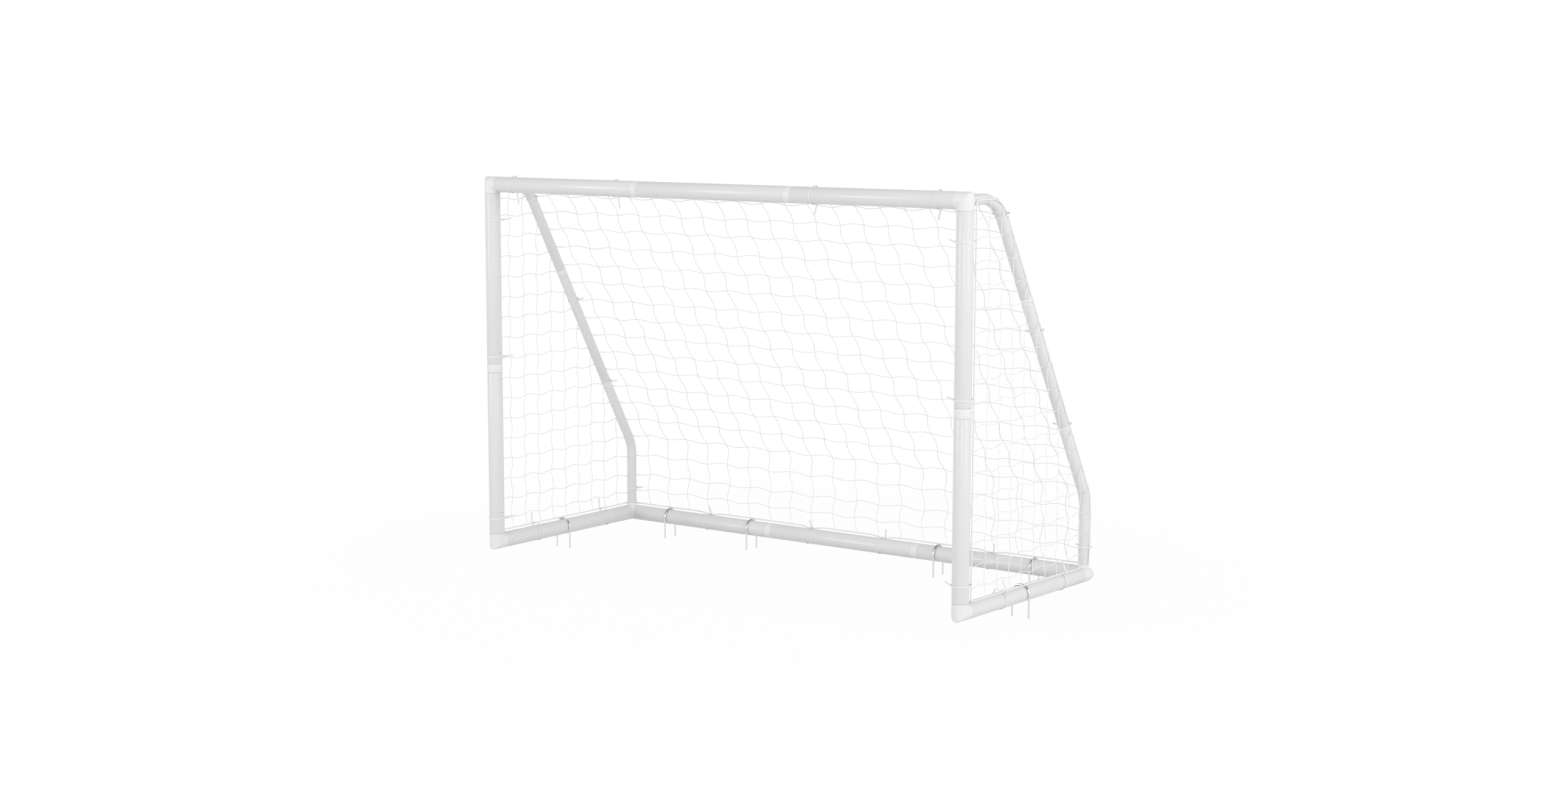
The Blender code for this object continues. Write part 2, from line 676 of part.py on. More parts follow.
def build_side(side, tag):
    """Post, base rail, stay, fittings, buttons and side peg of one side."""
    inward = Vector((-side, 0, 0))
    up, back = Vector((0, 0, 1)), Vector((0, 1, 0))
    post = Vector((side * POST_X, 0, 0))
    joint = post + up * POST_JOINT_RISE
    buttons = {"upper_button_" + tag: (joint + up * JOINT_BUTTON_UP, (inward, -up)),
               "lower_button_" + tag: (joint - up * JOINT_BUTTON_DOWN, (inward, up)),
               "foot_button_" + tag: (post + up * FOOT_BUTTON_RISE, (inward, -up)),
               "rail_button_" + tag: (post + back * RAIL_BUTTON_BACK, (inward, -back))}
    holes = {name: button_hole(name + "_hole", *spot) for name, spot in buttons.items()}
    upper, lower, foot, rail = (holes[name] for name in buttons)
    half = POST_BAND / 2 + SEAM_GAP
    straight_pipe("post_upper_" + tag, joint + up * half, post + up * (BAR_Z - SEAM - SEAM_GAP),
                  [upper])
    straight_pipe("post_lower_" + tag, post + up * (SEAM + SEAM_GAP), joint - up * half,
                  [lower, foot])
    main_coupling("post_coupling_" + tag, joint, ((inward, up.cross(inward), up), POST_BAND),
                  JOINT_BUTTON_UP + SPIGOT_PAST_BUTTON, JOINT_BUTTON_DOWN + SPIGOT_PAST_BUTTON,
                  [upper, lower])
    straight_pipe("side_rail_" + tag, post + back * (SEAM + SEAM_GAP),
                  post + back * (REAR_Y - SEAM - SEAM_GAP), [rail])
    spigot = SEAM + PLAIN_SPIGOT
    corner_fitting("corner_top_" + tag, post + up * BAR_Z, (inward, up.cross(inward), up),
                   spigot, spigot, (TOP_STUB_SEAM, -side))
    corner_fitting("corner_front_" + tag, post, (back, -up.cross(back), -up),
                   FOOT_BUTTON_RISE + SPIGOT_PAST_BUTTON, RAIL_BUTTON_BACK + SPIGOT_PAST_BUTTON,
                   None, [foot, rail])
    corner_fitting("corner_rear_" + tag, post + back * REAR_Y,
                   (inward, back.cross(inward), back), spigot, spigot,
                   (REAR_STUB_SEAM, side))
    pieces = ((TOP_STUB_SEAM, UPPER_JOINT - STAY_BAND / 2, "stay_top_"),
              (UPPER_JOINT + STAY_BAND / 2, LOWER_JOINT - STAY_BAND / 2, "stay_middle_"),
              (LOWER_JOINT + STAY_BAND / 2, ROUTE_END - REAR_STUB_SEAM, "stay_foot_"))
    for start, end, name in pieces:
        bent_stay(name + tag, side, start + SEAM_GAP, end - SEAM_GAP)
    stay_coupling("stay_coupling_upper_" + tag, side, UPPER_JOINT)
    stay_coupling("stay_coupling_lower_" + tag, side, LOWER_JOINT)
    for name, (centre, outward) in buttons.items():
        snap_button(name, centre, outward)
    ground_peg("side_peg_" + tag, post + back * SIDE_PEG_BACK, (1, 0, 0))
    side_rope("side_rope_" + tag, side)
    side_panel("side_net_" + tag, side)


def build_bar(name, y, z):
    """Three pipes across the goal with two couplings between them."""
    end = POST_X - SEAM - SEAM_GAP
    half = RAIL_BAND / 2 + SEAM_GAP
    spans = (("left", -end, -RAIL_JOINT_OFFSET - half),
             ("middle", -RAIL_JOINT_OFFSET + half, RAIL_JOINT_OFFSET - half),
             ("right", RAIL_JOINT_OFFSET + half, end))
    for tag, start, stop in spans:
        straight_pipe(name + "_" + tag, (start, y, z), (stop, y, z))
    reach = RAIL_BAND / 2 + PLAIN_SPIGOT
    for tag, side in (("L", -1), ("R", 1)):
        main_coupling(name + "_coupling_" + tag, (side * RAIL_JOINT_OFFSET, y, z),
                      (((0, 0, -1), (0, 1, 0), (1, 0, 0)), RAIL_BAND), reach, reach)


def build_goal():
    for side, tag in ((-1, "L"), (1, "R")):
        build_side(side, tag)
    build_bar("crossbar", 0.0, BAR_Z)
    build_bar("rear_rail", REAR_Y, 0.0)
    for index, offset in enumerate(REAR_PEG_OFFSETS):
        ground_peg("rear_peg_" + str(index + 1), (offset, REAR_Y, 0), (0, 1, 0))
    lift = rope_offset() + 0.0001
    reach = POST_X + STAY_R
    straight_rope("top_rope", (-reach, ROPE_STANDOFF, BAR_Z + lift),
                  (reach, ROPE_STANDOFF, BAR_Z + lift))
    reach = POST_X + rope_offset() * math.cos(math.pi / 4)
    straight_rope("rear_rope", (-reach, REAR_Y + lift, ROPE_STANDOFF),
                  (reach, REAR_Y + lift, ROPE_STANDOFF))
    top, slope, foot = back_rows()
    back_panel("net_top", top)
    back_panel("net_slope", slope)
    back_panel("net_foot", foot)


clear_scene()
PARTS = new_collection("junior_goal")
CUTTERS = new_collection("cutters")
ROOT = bpy.data.objects.new("goal_foot", None)
PARTS.objects.link(ROOT)
ROOT.location = FOOT_POINT
build_goal()
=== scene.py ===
"""Junior football goal: fine pieces, finishes, studio and camera for its fixed frame of parts.

World frame: X across the mouth, Y from the mouth to the back, Z up, metres. The ground is at
Z = 0, at the tips of the ground pegs. Places are read from the boxes of the frame's parts.
"""
import math

import bmesh
import bpy
import numpy as np
from mathutils import Matrix, Vector


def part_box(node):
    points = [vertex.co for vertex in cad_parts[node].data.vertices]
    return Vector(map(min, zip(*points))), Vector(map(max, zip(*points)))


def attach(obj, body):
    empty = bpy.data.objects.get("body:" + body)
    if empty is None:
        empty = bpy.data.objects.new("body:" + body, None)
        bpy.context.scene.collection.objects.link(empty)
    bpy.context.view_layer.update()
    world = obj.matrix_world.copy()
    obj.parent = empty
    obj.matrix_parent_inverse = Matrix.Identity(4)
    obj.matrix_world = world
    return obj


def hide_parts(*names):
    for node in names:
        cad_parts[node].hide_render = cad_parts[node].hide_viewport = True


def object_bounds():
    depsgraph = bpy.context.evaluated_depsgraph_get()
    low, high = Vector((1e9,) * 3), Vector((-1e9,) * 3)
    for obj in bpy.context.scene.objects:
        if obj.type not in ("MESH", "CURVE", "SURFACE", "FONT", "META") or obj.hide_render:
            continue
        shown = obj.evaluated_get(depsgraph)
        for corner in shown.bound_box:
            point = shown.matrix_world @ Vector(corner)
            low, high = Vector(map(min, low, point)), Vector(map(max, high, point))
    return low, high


bl_info = {
    "name": "Junior Football Goal",
    "version": (1, 0, 0),
    "blender": (4, 5, 0),
    "location": "3D View > Sidebar > Goal",
    "description": "Models the pipes, fittings, net, ropes, ties and pegs of a junior goal",
    "category": "Object",
}

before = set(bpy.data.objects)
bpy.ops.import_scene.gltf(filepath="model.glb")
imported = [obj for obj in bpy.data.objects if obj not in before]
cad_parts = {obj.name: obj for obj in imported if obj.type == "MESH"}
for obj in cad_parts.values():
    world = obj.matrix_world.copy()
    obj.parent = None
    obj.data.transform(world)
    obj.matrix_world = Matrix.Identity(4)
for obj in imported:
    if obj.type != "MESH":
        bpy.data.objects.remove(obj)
FRAME_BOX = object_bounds()
SIDES = (("L", -1), ("R", 1))
ALONG_X, BACK, UP = Vector((1, 0, 0)), Vector((0, 1, 0)), Vector((0, 0, 1))


def middle_of(node):
    low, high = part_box(node)
    return (low + high) / 2


def span_of(node):
    low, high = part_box(node)
    return high - low


# Axes of the goal, from the boxes of its parts.
POST_X = middle_of("post_upper_R").x
FRONT_Y = middle_of("post_upper_R").y
BAR_Z = middle_of("crossbar_middle").z
REAR_Y = middle_of("rear_rail_middle").y
RAIL_Z = middle_of("rear_rail_middle").z
PIPE_R = span_of("crossbar_middle").z / 2
STAY_R = span_of("stay_middle_R").x / 2

# The frame's stays have twelve sides, and the ropes and ties lie clear of their corners.
STAY_SIDES, ROPE_GAP = 12, 0.0003


def number(name, description, default, **kind):
    return bpy.props.FloatProperty(name=name, description=description, default=default, **kind)


def length(name, description, default):
    return number(name, description, default, unit="LENGTH")


def angle(name, description, default):
    return number(name, description, default, subtype="ANGLE")


def colour(name, description, *default):
    return bpy.props.FloatVectorProperty(name=name, description=description, default=default,
                                         subtype="COLOR", min=0, max=1)


class GoalSizes(bpy.types.PropertyGroup):
    """Sizes of the goal's pieces."""

    pipe_wall: length("Pipe wall", "Wall of the main pipe", 0.0025)
    stay_wall: length("Stay wall", "Wall of the stays' pipe", 0.002)
    rim: length("Rim rounding", "Rounding of the pipes' cut ends", 0.0006)
    stay_top_run: length("Top run", "From the crossbar's axis to the stay's upper corner", 0.159)
    stay_foot_rise: length("Foot rise", "From the rail's axis to the stay's lower corner", 0.238)
    stay_bend: length("Bend radius", "Radius of the stay's bends on its axis", 0.120)
    seam: length("Fitting reach", "From a corner's axis to its seams", 0.0275)
    spigot_slack: length("Spigot slack", "Gap between a spigot and the pipe's bore", 0.0003)
    spigot_wall: length("Spigot wall", "Wall of the hollow spigots", 0.0024)
    mitre_rounding: length("Mitre rounding", "Rounding of the corners' mitred edge", 0.0045)
    rope: length("Rope", "Diameter of the border ropes", 0.0045)
    rope_standoff: length("Rope standoff", "From a pipe's axis to the rope beside it", 0.0292)
    strand: length("Strand", "Diameter of the net's strands", 0.0022)
    net_standoff: length("Net standoff", "From a stay's axis to the net over it", 0.0175)
    stud: length("Stud", "Diameter of the snap buttons' studs", 0.0095)
    peg_wire: length("Peg wire", "Diameter of the pegs' wire", 0.0055)
    tie_width: length("Tie width", "Width of the plastic ties' band", 0.0046)
    tie_thick: length("Tie thickness", "Thickness of the ties' band", 0.0012)
    back_mesh: length("Back mesh", "Between two upright strands of the back net", 0.08663)
    side_mesh: length("Side mesh", "Between two level strands of a side net", 0.0667)


class GoalFinishes(bpy.types.PropertyGroup):
    """Colours of the goal's finishes."""

    pipe: colour("Pipe coat", "Powder coat of the pipes", 0.735, 0.735, 0.735)
    moulding: colour("Moulding", "Plastic of fittings and couplings", 0.80, 0.80, 0.80)
    twine: colour("Twine", "Strands of the nets", 0.87, 0.87, 0.87)
    cord: colour("Cord", "Border ropes", 0.88, 0.88, 0.88)
    nylon: colour("Ties", "Plastic of the ties", 0.80, 0.80, 0.80)
    wire: colour("Peg wire", "Bright plated wire of the pegs", 0.72, 0.72, 0.73)
    spring: colour("Snap buttons", "Steel of studs and springs", 0.82, 0.82, 0.82)


class GoalStudio(bpy.types.PropertyGroup):
    """Camera and light."""

    lens: number("Lens", "Focal length in millimetres", 58.49)
    eye: bpy.props.FloatVectorProperty(
        name="Camera place", description="Where the camera stands", subtype="TRANSLATION",
        default=(4.68018, -6.43945, 1.64290))
    turn: angle("Turn", "Camera's turn from the goal's axis", 0.699315)
    dip: angle("Dip", "How far the camera looks down", 0.147488)
    lean: angle("Lean", "Camera's roll", 0.007711)
    shift: bpy.props.FloatVectorProperty(
        name="Shift", description="Lens shift", size=2, default=(0.11654, 0.02369))
    key: number("Key light", "Power of the large lamp on the right", 440.0)
    left: number("Left light", "Power of the lamp in front on the left", 180.0)
    right: number("Right light", "Power of the lamp in front on the right", 72.0)
    sky: number("Room light", "Strength of the light from all round", 0.75)


def sizes():
    return bpy.context.scene.goal_sizes


def finishes():
    return bpy.context.scene.goal_finishes


# Handling of objects and selections.

def take(name):
    """The active object, given its name."""
    obj = bpy.context.object
    obj.name = obj.data.name = name
    return obj


def deselect():
    if bpy.context.object is not None and bpy.context.object.mode != "OBJECT":
        leave_edit()
    bpy.ops.object.select_all(action="DESELECT")


def activate(obj):
    deselect()
    obj.select_set(True)
    bpy.context.view_layer.objects.active = obj


def edit(obj, mode="VERT"):
    activate(obj)
    bpy.ops.object.mode_set(mode="EDIT")
    bpy.ops.mesh.select_mode(type=mode)


def edit_all(obj, mode="VERT"):
    edit(obj, mode)
    bpy.ops.mesh.select_all(action="SELECT")


def leave_edit():
    bpy.ops.object.mode_set(mode="OBJECT")


def choose(obj, kind, test):
    """In edit mode, select only the faces or edges that pass the test."""
    bpy.ops.mesh.select_all(action="DESELECT")
    form = bmesh.from_edit_mesh(obj.data)
    for item in getattr(form, kind):
        if test(item):
            item.select_set(True)
    bmesh.update_edit_mesh(obj.data)


def choose_faces(obj, test):
    """Select by a test of a face's centre and normal."""
    choose(obj, "faces", lambda face: test(face.calc_center_median(), face.normal))


def choose_edges(obj, test):
    """Select by a test of an edge's two ends."""
    choose(obj, "edges", lambda edge: test(edge.verts[0].co, edge.verts[1].co))


def choose_ends(obj, axis, *places):
    """Select the flat faces across an axis at the given places along it."""
    choose_faces(obj, lambda c, n: abs(n.dot(axis)) > 0.9
                 and min(abs(c.dot(axis) - place) for place in places) < 0.0001)


def extrude(move):
    bpy.ops.mesh.extrude_region_move(TRANSFORM_OT_translate={"value": move})


def inset(width):
    bpy.ops.mesh.inset(thickness=width, depth=0.0)


def settle(obj):
    """Put the object's place, turn and scale into its mesh."""
    activate(obj)
    bpy.ops.object.transform_apply(location=True, rotation=True, scale=True)
    return obj


def add_step(obj, kind, **values):
    """Add a modifier with the given values."""
    step = obj.modifiers.new(kind.title(), kind)
    for key, value in values.items():
        setattr(step, key, value)


def soften(obj, width, degrees):
    """Add a bevel of the edges that are sharper than an angle."""
    add_step(obj, "BEVEL", width=width, segments=2, limit_method="ANGLE",
             angle_limit=math.radians(degrees))


def apply_all(obj):
    activate(obj)
    for modifier in list(obj.modifiers):
        bpy.ops.object.modifier_apply(modifier=modifier.name)


def outward_normals(obj):
    edit_all(obj)
    bpy.ops.mesh.remove_doubles(threshold=0.000004)
    bpy.ops.mesh.normals_make_consistent(inside=False)
    leave_edit()


def smooth(obj, degrees=32):
    activate(obj)
    bpy.ops.object.shade_smooth_by_angle(angle=math.radians(degrees))


def copy_of(obj, name, matrix):
    """A copy with its own mesh, moved by a matrix; a mirrored one is turned right side out."""
    activate(obj)
    bpy.ops.object.duplicate(linked=False)
    twin = take(name)
    twin.matrix_world = matrix @ twin.matrix_world
    settle(twin)
    if matrix.determinant() < 0:
        edit_all(twin)
        bpy.ops.mesh.normals_make_consistent(inside=False)
        leave_edit()
    return twin


def join(first, *others):
    activate(first)
    for other in others:
        other.select_set(True)
    bpy.ops.object.join()
    return bpy.context.object


def remove(*objects):
    for obj in objects:
        bpy.data.objects.remove(obj, do_unlink=True)


def combine(obj, operation, other):
    """Cut another object out of this one, or unite them, and remove the other."""
    add_step(obj, "BOOLEAN", operation=operation, solver="EXACT", object=other)
    apply_all(obj)
    remove(other)


def hand_over(obj, body, nodes, material):
    """Give a finished piece its finish and its body, and hide the parts that it stands for."""
    obj.data.materials.clear()
    obj.data.materials.append(material)
    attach(obj, body)
    if nodes:
        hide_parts(*nodes)


def aim(direction):
    return Vector(direction).to_track_quat("Z", "Y").to_matrix().to_4x4()


def seat(at, x_axis, y_axis, z_axis):
    """Matrix that puts the origin at a place and turns the axes along three directions."""
    return Matrix.Translation(at) @ Matrix((x_axis, y_axis, z_axis)).transposed().to_4x4()


def rod(name, start, end, radius, sides=64):
    """Plain cylinder between two points, its place in its mesh."""
    start, end = Vector(start), Vector(end)
    run = end - start
    deselect()
    bpy.ops.mesh.primitive_cylinder_add(vertices=sides, radius=radius, depth=run.length,
                                        location=(start + end) / 2,
                                        rotation=aim(run).to_euler())
    return settle(take(name))


def strip(name, tall, wide):
    """Flat strip across X at the origin, its height along Z and its width along Y."""
    deselect()
    bpy.ops.mesh.primitive_plane_add(size=1.0, rotation=(0, math.pi / 2, 0))
    obj = take(name)
    obj.scale = (tall, wide, 1.0)
    return settle(obj)


def bore(obj, axis, low, high, wall):
    """Open both ends of a rod into one bore, in edit mode."""
    bpy.ops.mesh.select_mode(type="FACE")
    choose_ends(obj, axis, low, high)
    inset(wall)
    bpy.ops.mesh.bridge_edge_loops()


def hollow_spigot(shoulder, out, reach, depth):
    """Push the selected end out behind a shoulder and sink its bore, in edit mode."""
    inset(shoulder)
    extrude(out * reach)
    inset(sizes().spigot_wall)
    extrude(out * -depth)


def round_rims(obj, axis, stations, radius, width):
    """Round the circles of a given radius at the given places along an axis, in edit mode."""
    form = bmesh.from_edit_mesh(obj.data)
    low = Vector([min(v.co[i] for v in form.verts) for i in range(3)])
    high = Vector([max(v.co[i] for v in form.verts) for i in range(3)])
    centre = (low + high) / 2
    centre = centre - axis * centre.dot(axis)

    def on_rim(point):
        along = point.dot(axis)
        off = point - axis * along - centre
        return min(abs(along - s) for s in stations) < 0.00003 and abs(off.length - radius) < 0.00003
    bpy.ops.mesh.select_mode(type="EDGE")
    choose_edges(obj, lambda a, b: on_rim(a) and on_rim(b))
    bpy.ops.mesh.bevel(offset=width, segments=2, affect="EDGES")


class StayLine:
    """Line of a stay: level behind the crossbar, down a slope and upright on the rear corner."""

    def __init__(self):
        s = sizes()
        rise, run = BAR_Z - RAIL_Z - s.stay_foot_rise, REAR_Y - FRONT_Y - s.stay_top_run
        self.slope, length = math.atan2(rise, run), math.hypot(rise, run)
        self.bend = s.stay_bend
        self.top_tangent = self.bend * math.tan(self.slope / 2)
        foot = math.pi / 2 - self.slope
        self.foot_tangent = self.bend * math.tan(foot / 2)
        self.level_end = s.stay_top_run - self.top_tangent
        self.slope_start = self.level_end + self.bend * self.slope
        self.slope_end = self.slope_start + length - self.top_tangent - self.foot_tangent
        self.upright_start = self.slope_end + self.bend * foot
        self.end = self.upright_start + s.stay_foot_rise - self.foot_tangent
        self.rope_foot = self.end - s.rope_standoff
        self.rope_reach = STAY_R / math.cos(math.pi / STAY_SIDES) + ROPE_GAP + s.rope / 2

    def at(self, station, outward=0.0):
        """(y, z, heading) at a distance along the line, moved outward from the goal."""
        angle = 0.0
        y, z = FRONT_Y + min(station, self.level_end), BAR_Z
        if station > self.level_end:
            angle = min((station - self.level_end) / self.bend, self.slope)
            y += self.bend * math.sin(angle)
            z -= self.bend * (1 - math.cos(angle))
        if station > self.slope_start:
            run = min(station, self.slope_end) - self.slope_start
            y += run * math.cos(self.slope)
            z -= run * math.sin(self.slope)
        if station > self.slope_end:
            angle = self.slope + (min(station, self.upright_start) - self.slope_end) / self.bend
            y += self.bend * (math.sin(angle) - math.sin(self.slope))
            z += self.bend * (math.cos(angle) - math.cos(self.slope))
        if station > self.upright_start:
            z -= station - self.upright_start
        return (y + outward * math.sin(angle), z + outward * math.cos(angle), angle)

    def beside(self, station, reach, turn, side):
        """Point at a reach from the line, turned from its side towards its outer side."""
        y, z, _ = self.at(station, reach * math.sin(turn))
        return Vector((side * (POST_X + reach * math.cos(turn)), y, z))

    def rope_turn(self, station):
        """How far round the stay the rope has moved towards its outer side."""
        rising = (station - self.level_end) / (self.slope_start - self.level_end)
        falling = (self.rope_foot - station) / (self.rope_foot - self.upright_start)
        return math.pi / 4 * max(0.0, min(1.0, rising, falling))

    def rope_point(self, station, side):
        return self.beside(station, self.rope_reach, self.rope_turn(station), side)

    def stations(self, start, end, step, bend_step=0.008):
        """Evenly spaced stations, closer in the bends."""
        marks = [start]
        while marks[-1] < end - 1e-6:
            here = marks[-1]
            curved = (self.level_end - 1e-6 <= here < self.slope_start
                      or self.slope_end - 1e-6 <= here < self.upright_start)
            following = here + (min(step, bend_step) if curved else step)
            for edge in (self.level_end, self.slope_start, self.slope_end, self.upright_start):
                if here + 1e-6 < edge < following:
                    following = edge
            marks.append(min(following, end))
        return marks


# Finishes.

GREY = (0.8, 0.8, 0.8, 1.0)


def feed(tree, node, inputs):
    """Set a node's inputs from numbers or link them to other nodes' outputs."""
    for key, value in inputs.items():
        if isinstance(value, bpy.types.NodeSocket):
            tree.links.new(value, node.inputs[key])
        else:
            node.inputs[key].default_value = value


def add_node(tree, kind, inputs=None, **values):
    """Add a node with its values and inputs, in rows by the order of making."""
    node = tree.nodes.new(kind)
    row, column = divmod(len(tree.nodes), 6)
    node.location = (220 * column - 1600, -260 * row)
    for key, value in values.items():
        setattr(node, key, value)
    feed(tree, node, inputs or {})
    return node


def calculate(tree, operation, *values):
    node = add_node(tree, "ShaderNodeMath", dict(enumerate(values)), operation=operation)
    return node.outputs[0]


def toned(tree, colour, tone):
    """A colour made lighter or darker."""
    return add_node(tree, "ShaderNodeVectorMath", {0: colour, "Scale": tone},
                    operation="SCALE").outputs[0]


def new_group(name, inputs, outputs):
    """An empty group with its sockets, and the outputs of its input node."""
    group = bpy.data.node_groups.new(name, "ShaderNodeTree")
    for title, kind, value in inputs:
        socket = group.interface.new_socket(title, in_out="INPUT", socket_type="NodeSocket" + kind)
        if value is not None:
            socket.default_value = value
    for title, kind in outputs:
        group.interface.new_socket(title, in_out="OUTPUT", socket_type="NodeSocket" + kind)
    return group, add_node(group, "NodeGroupInput").outputs


def make_coat_group(name):
    """Fine surface grain with a slow unevenness of tone and gloss, for coats and mouldings."""
    group, given = new_group(
        name,
        [("Vector", "Vector", None), ("Grain", "Float", 700.0), ("Patches", "Float", 9.0),
         ("Tone Change", "Float", 0.03), ("Roughness", "Float", 0.4),
         ("Gloss Change", "Float", 0.08), ("Colour", "Color", GREY)],
        [("Colour", "Color"), ("Roughness", "Float"), ("Height", "Float")])
    fine = add_node(group, "ShaderNodeTexNoise", {
        "Vector": given["Vector"], "Scale": given["Grain"], "Detail": 3.0})
    slow = add_node(group, "ShaderNodeTexNoise", {
        "Vector": given["Vector"], "Scale": given["Patches"], "Detail": 4.0, "Roughness": 0.6})
    centred = calculate(group, "SUBTRACT", slow.outputs[0], 0.5)
    change = calculate(group, "MULTIPLY", centred, given["Tone Change"])
    gloss = calculate(group, "MULTIPLY", centred, given["Gloss Change"])
    add_node(group, "NodeGroupOutput", {
        "Colour": toned(group, given["Colour"], calculate(group, "ADD", change, 1.0)),
        "Roughness": calculate(group, "ADD", gloss, given["Roughness"]),
        "Height": fine.outputs[0]})
    return group


def make_lay_group(name):
    """Turned strands of a twine: slanting ridges along it and fibres in relief, with painted shade
    darkening the colour in the grooves.
    """
    group, given = new_group(
        name,
        [("UV", "Vector", None), ("Turns", "Float", 240.0), ("Strands", "Float", 3.0),
         ("Groove", "Float", 0.18), ("Colour", "Color", GREY)],
        [("Colour", "Color"), ("Height", "Float")])
    parts = add_node(group, "ShaderNodeSeparateXYZ", {0: given["UV"]})
    along = calculate(group, "MULTIPLY", parts.outputs[0], given["Turns"])
    around = calculate(group, "MULTIPLY", parts.outputs[1], given["Strands"])
    turned = calculate(group, "MULTIPLY", calculate(group, "ADD", along, around), 2 * math.pi)
    ridge = calculate(group, "ABSOLUTE", calculate(group, "SINE", turned))
    stretch = add_node(group, "ShaderNodeVectorMath", {0: given["UV"], 1: (900.0, 14.0, 1.0)},
                       operation="MULTIPLY")
    fibre = add_node(group, "ShaderNodeTexNoise", {
        "Vector": stretch.outputs[0], "Scale": 1.0, "Detail": 2.0})
    fuzz = calculate(group, "MULTIPLY", fibre.outputs[0], 0.35)
    # Painted shade: the twine's colour is darkened between the ridges, where shade falls in the grooves.
    depth = calculate(group, "MULTIPLY", calculate(group, "SUBTRACT", 1.0, ridge), given["Groove"])
    add_node(group, "NodeGroupOutput", {
        "Colour": toned(group, given["Colour"], calculate(group, "SUBTRACT", 1.0, depth)),
        "Height": calculate(group, "ADD", ridge, fuzz)})
    return group


def new_finish(name):
    material = bpy.data.materials.new(name)
    material.use_nodes = True
    tree = material.node_tree
    return material, tree, tree.nodes["Principled BSDF"]


def grained(name, group_name, make_group, coords, inputs, bump, constants):
    """Material whose colour and relief come from a shared group that coordinates feed."""
    if name in bpy.data.materials:
        return bpy.data.materials[name]
    material, tree, shader = new_finish(name)
    kind, settings, output, entry = coords
    source = add_node(tree, kind, **settings)
    group = bpy.data.node_groups.get(group_name) or make_group(group_name)
    grain = add_node(tree, "ShaderNodeGroup", node_tree=group)
    feed(tree, grain, {entry: source.outputs[output], **inputs})
    relief = add_node(tree, "ShaderNodeBump", {
        "Strength": bump[0], "Distance": bump[1], "Height": grain.outputs["Height"]})
    feed(tree, shader, {"Base Color": grain.outputs["Colour"],
                        "Normal": relief.outputs["Normal"], **constants})
    if "Roughness" in grain.outputs:
        tree.links.new(grain.outputs["Roughness"], shader.inputs["Roughness"])
    return material


def coat(name, colour, roughness, grain, depth, patches=9.0, tone=0.03, gloss=0.08,
         metallic=0.0, specular=0.5):
    return grained(name, "Coat Grain", make_coat_group,
                   ("ShaderNodeTexCoord", {}, "Object", "Vector"),
                   {"Grain": grain, "Patches": patches, "Tone Change": tone,
                    "Roughness": roughness, "Gloss Change": gloss, "Colour": (*colour, 1.0)},
                   (depth, 0.0002), {"Metallic": metallic, "Specular IOR Level": specular})


def twine(name, colour, turns, groove):
    return grained(name, "Twine Lay", make_lay_group,
                   ("ShaderNodeUVMap", {"uv_map": "UVMap"}, "UV", "UV"),
                   # The groove value sets the painted shade that darkens the twine's colour in its
                   # grooves.
                   {"Turns": turns, "Strands": 2.0, "Groove": groove, "Colour": (*colour, 1.0)},
                   (0.25, 0.0003), {"Roughness": 0.75, "Sheen Weight": 0.15})


def pipe_coat():
    return coat("white_powder_coat", finishes().pipe, 0.22, 900.0, 0.16, specular=0.25)


def white_moulding():
    return coat("white_moulding", finishes().moulding, 0.42, 1800.0, 0.12, patches=14.0,
                tone=0.02, specular=0.3)


def spring_steel():
    return coat("spring_steel", finishes().spring, 0.58, 2600.0, 0.10, patches=60.0,
                tone=0.06, gloss=0.12, metallic=1.0)


def plated_wire():
    return coat("bright_plated_wire", finishes().wire, 0.13, 1600.0, 0.10, patches=40.0,
                tone=0.12, gloss=0.14, metallic=1.0)


def tie_plastic():
    return coat("white_tie_plastic", finishes().nylon, 0.45, 2200.0, 0.14, patches=90.0,
                tone=0.05, gloss=0.10)


# Studio.

AIM = Vector((0, 0, 0.6))
GROUND_TONE, SEEN_TONE = (0.72, 0.72, 0.72, 1.0), (0.97, 0.97, 0.97, 1.0)

# Where a fade starts and ends, and its values there: plain white in place of the floor, by the
# distance from the goal's middle, and the room's tone in reflections, by height.

FLOOR_FADE, ROOM_FADE = (1.3, 2.8, 0.93, 1.0), (0.25, 0.65, 1.0, 0.12)


def seen_by_rays(tree):
    """Camera rays, and camera or glossy rays."""
    seen = add_node(tree, "ShaderNodeLightPath").outputs
    return seen["Is Camera Ray"], calculate(tree, "MAXIMUM", seen["Is Camera Ray"], seen["Is Glossy Ray"])


def faded(tree, value, low, high, start, end):
    """A value's way from low to high, as a way from start to end."""
    return add_node(tree, "ShaderNodeMapRange", {
        "Value": value, "From Min": low, "From Max": high, "To Min": start,
        "To Max": end}).outputs[0]


def mixed(tree, share, first, second, out):
    """Mix two shaders' nodes into an output node."""
    mix = add_node(tree, "ShaderNodeMixShader", {0: share, 1: first.outputs[0], 2: second.outputs[0]})
    tree.links.new(mix.outputs[0], out.inputs["Surface"])


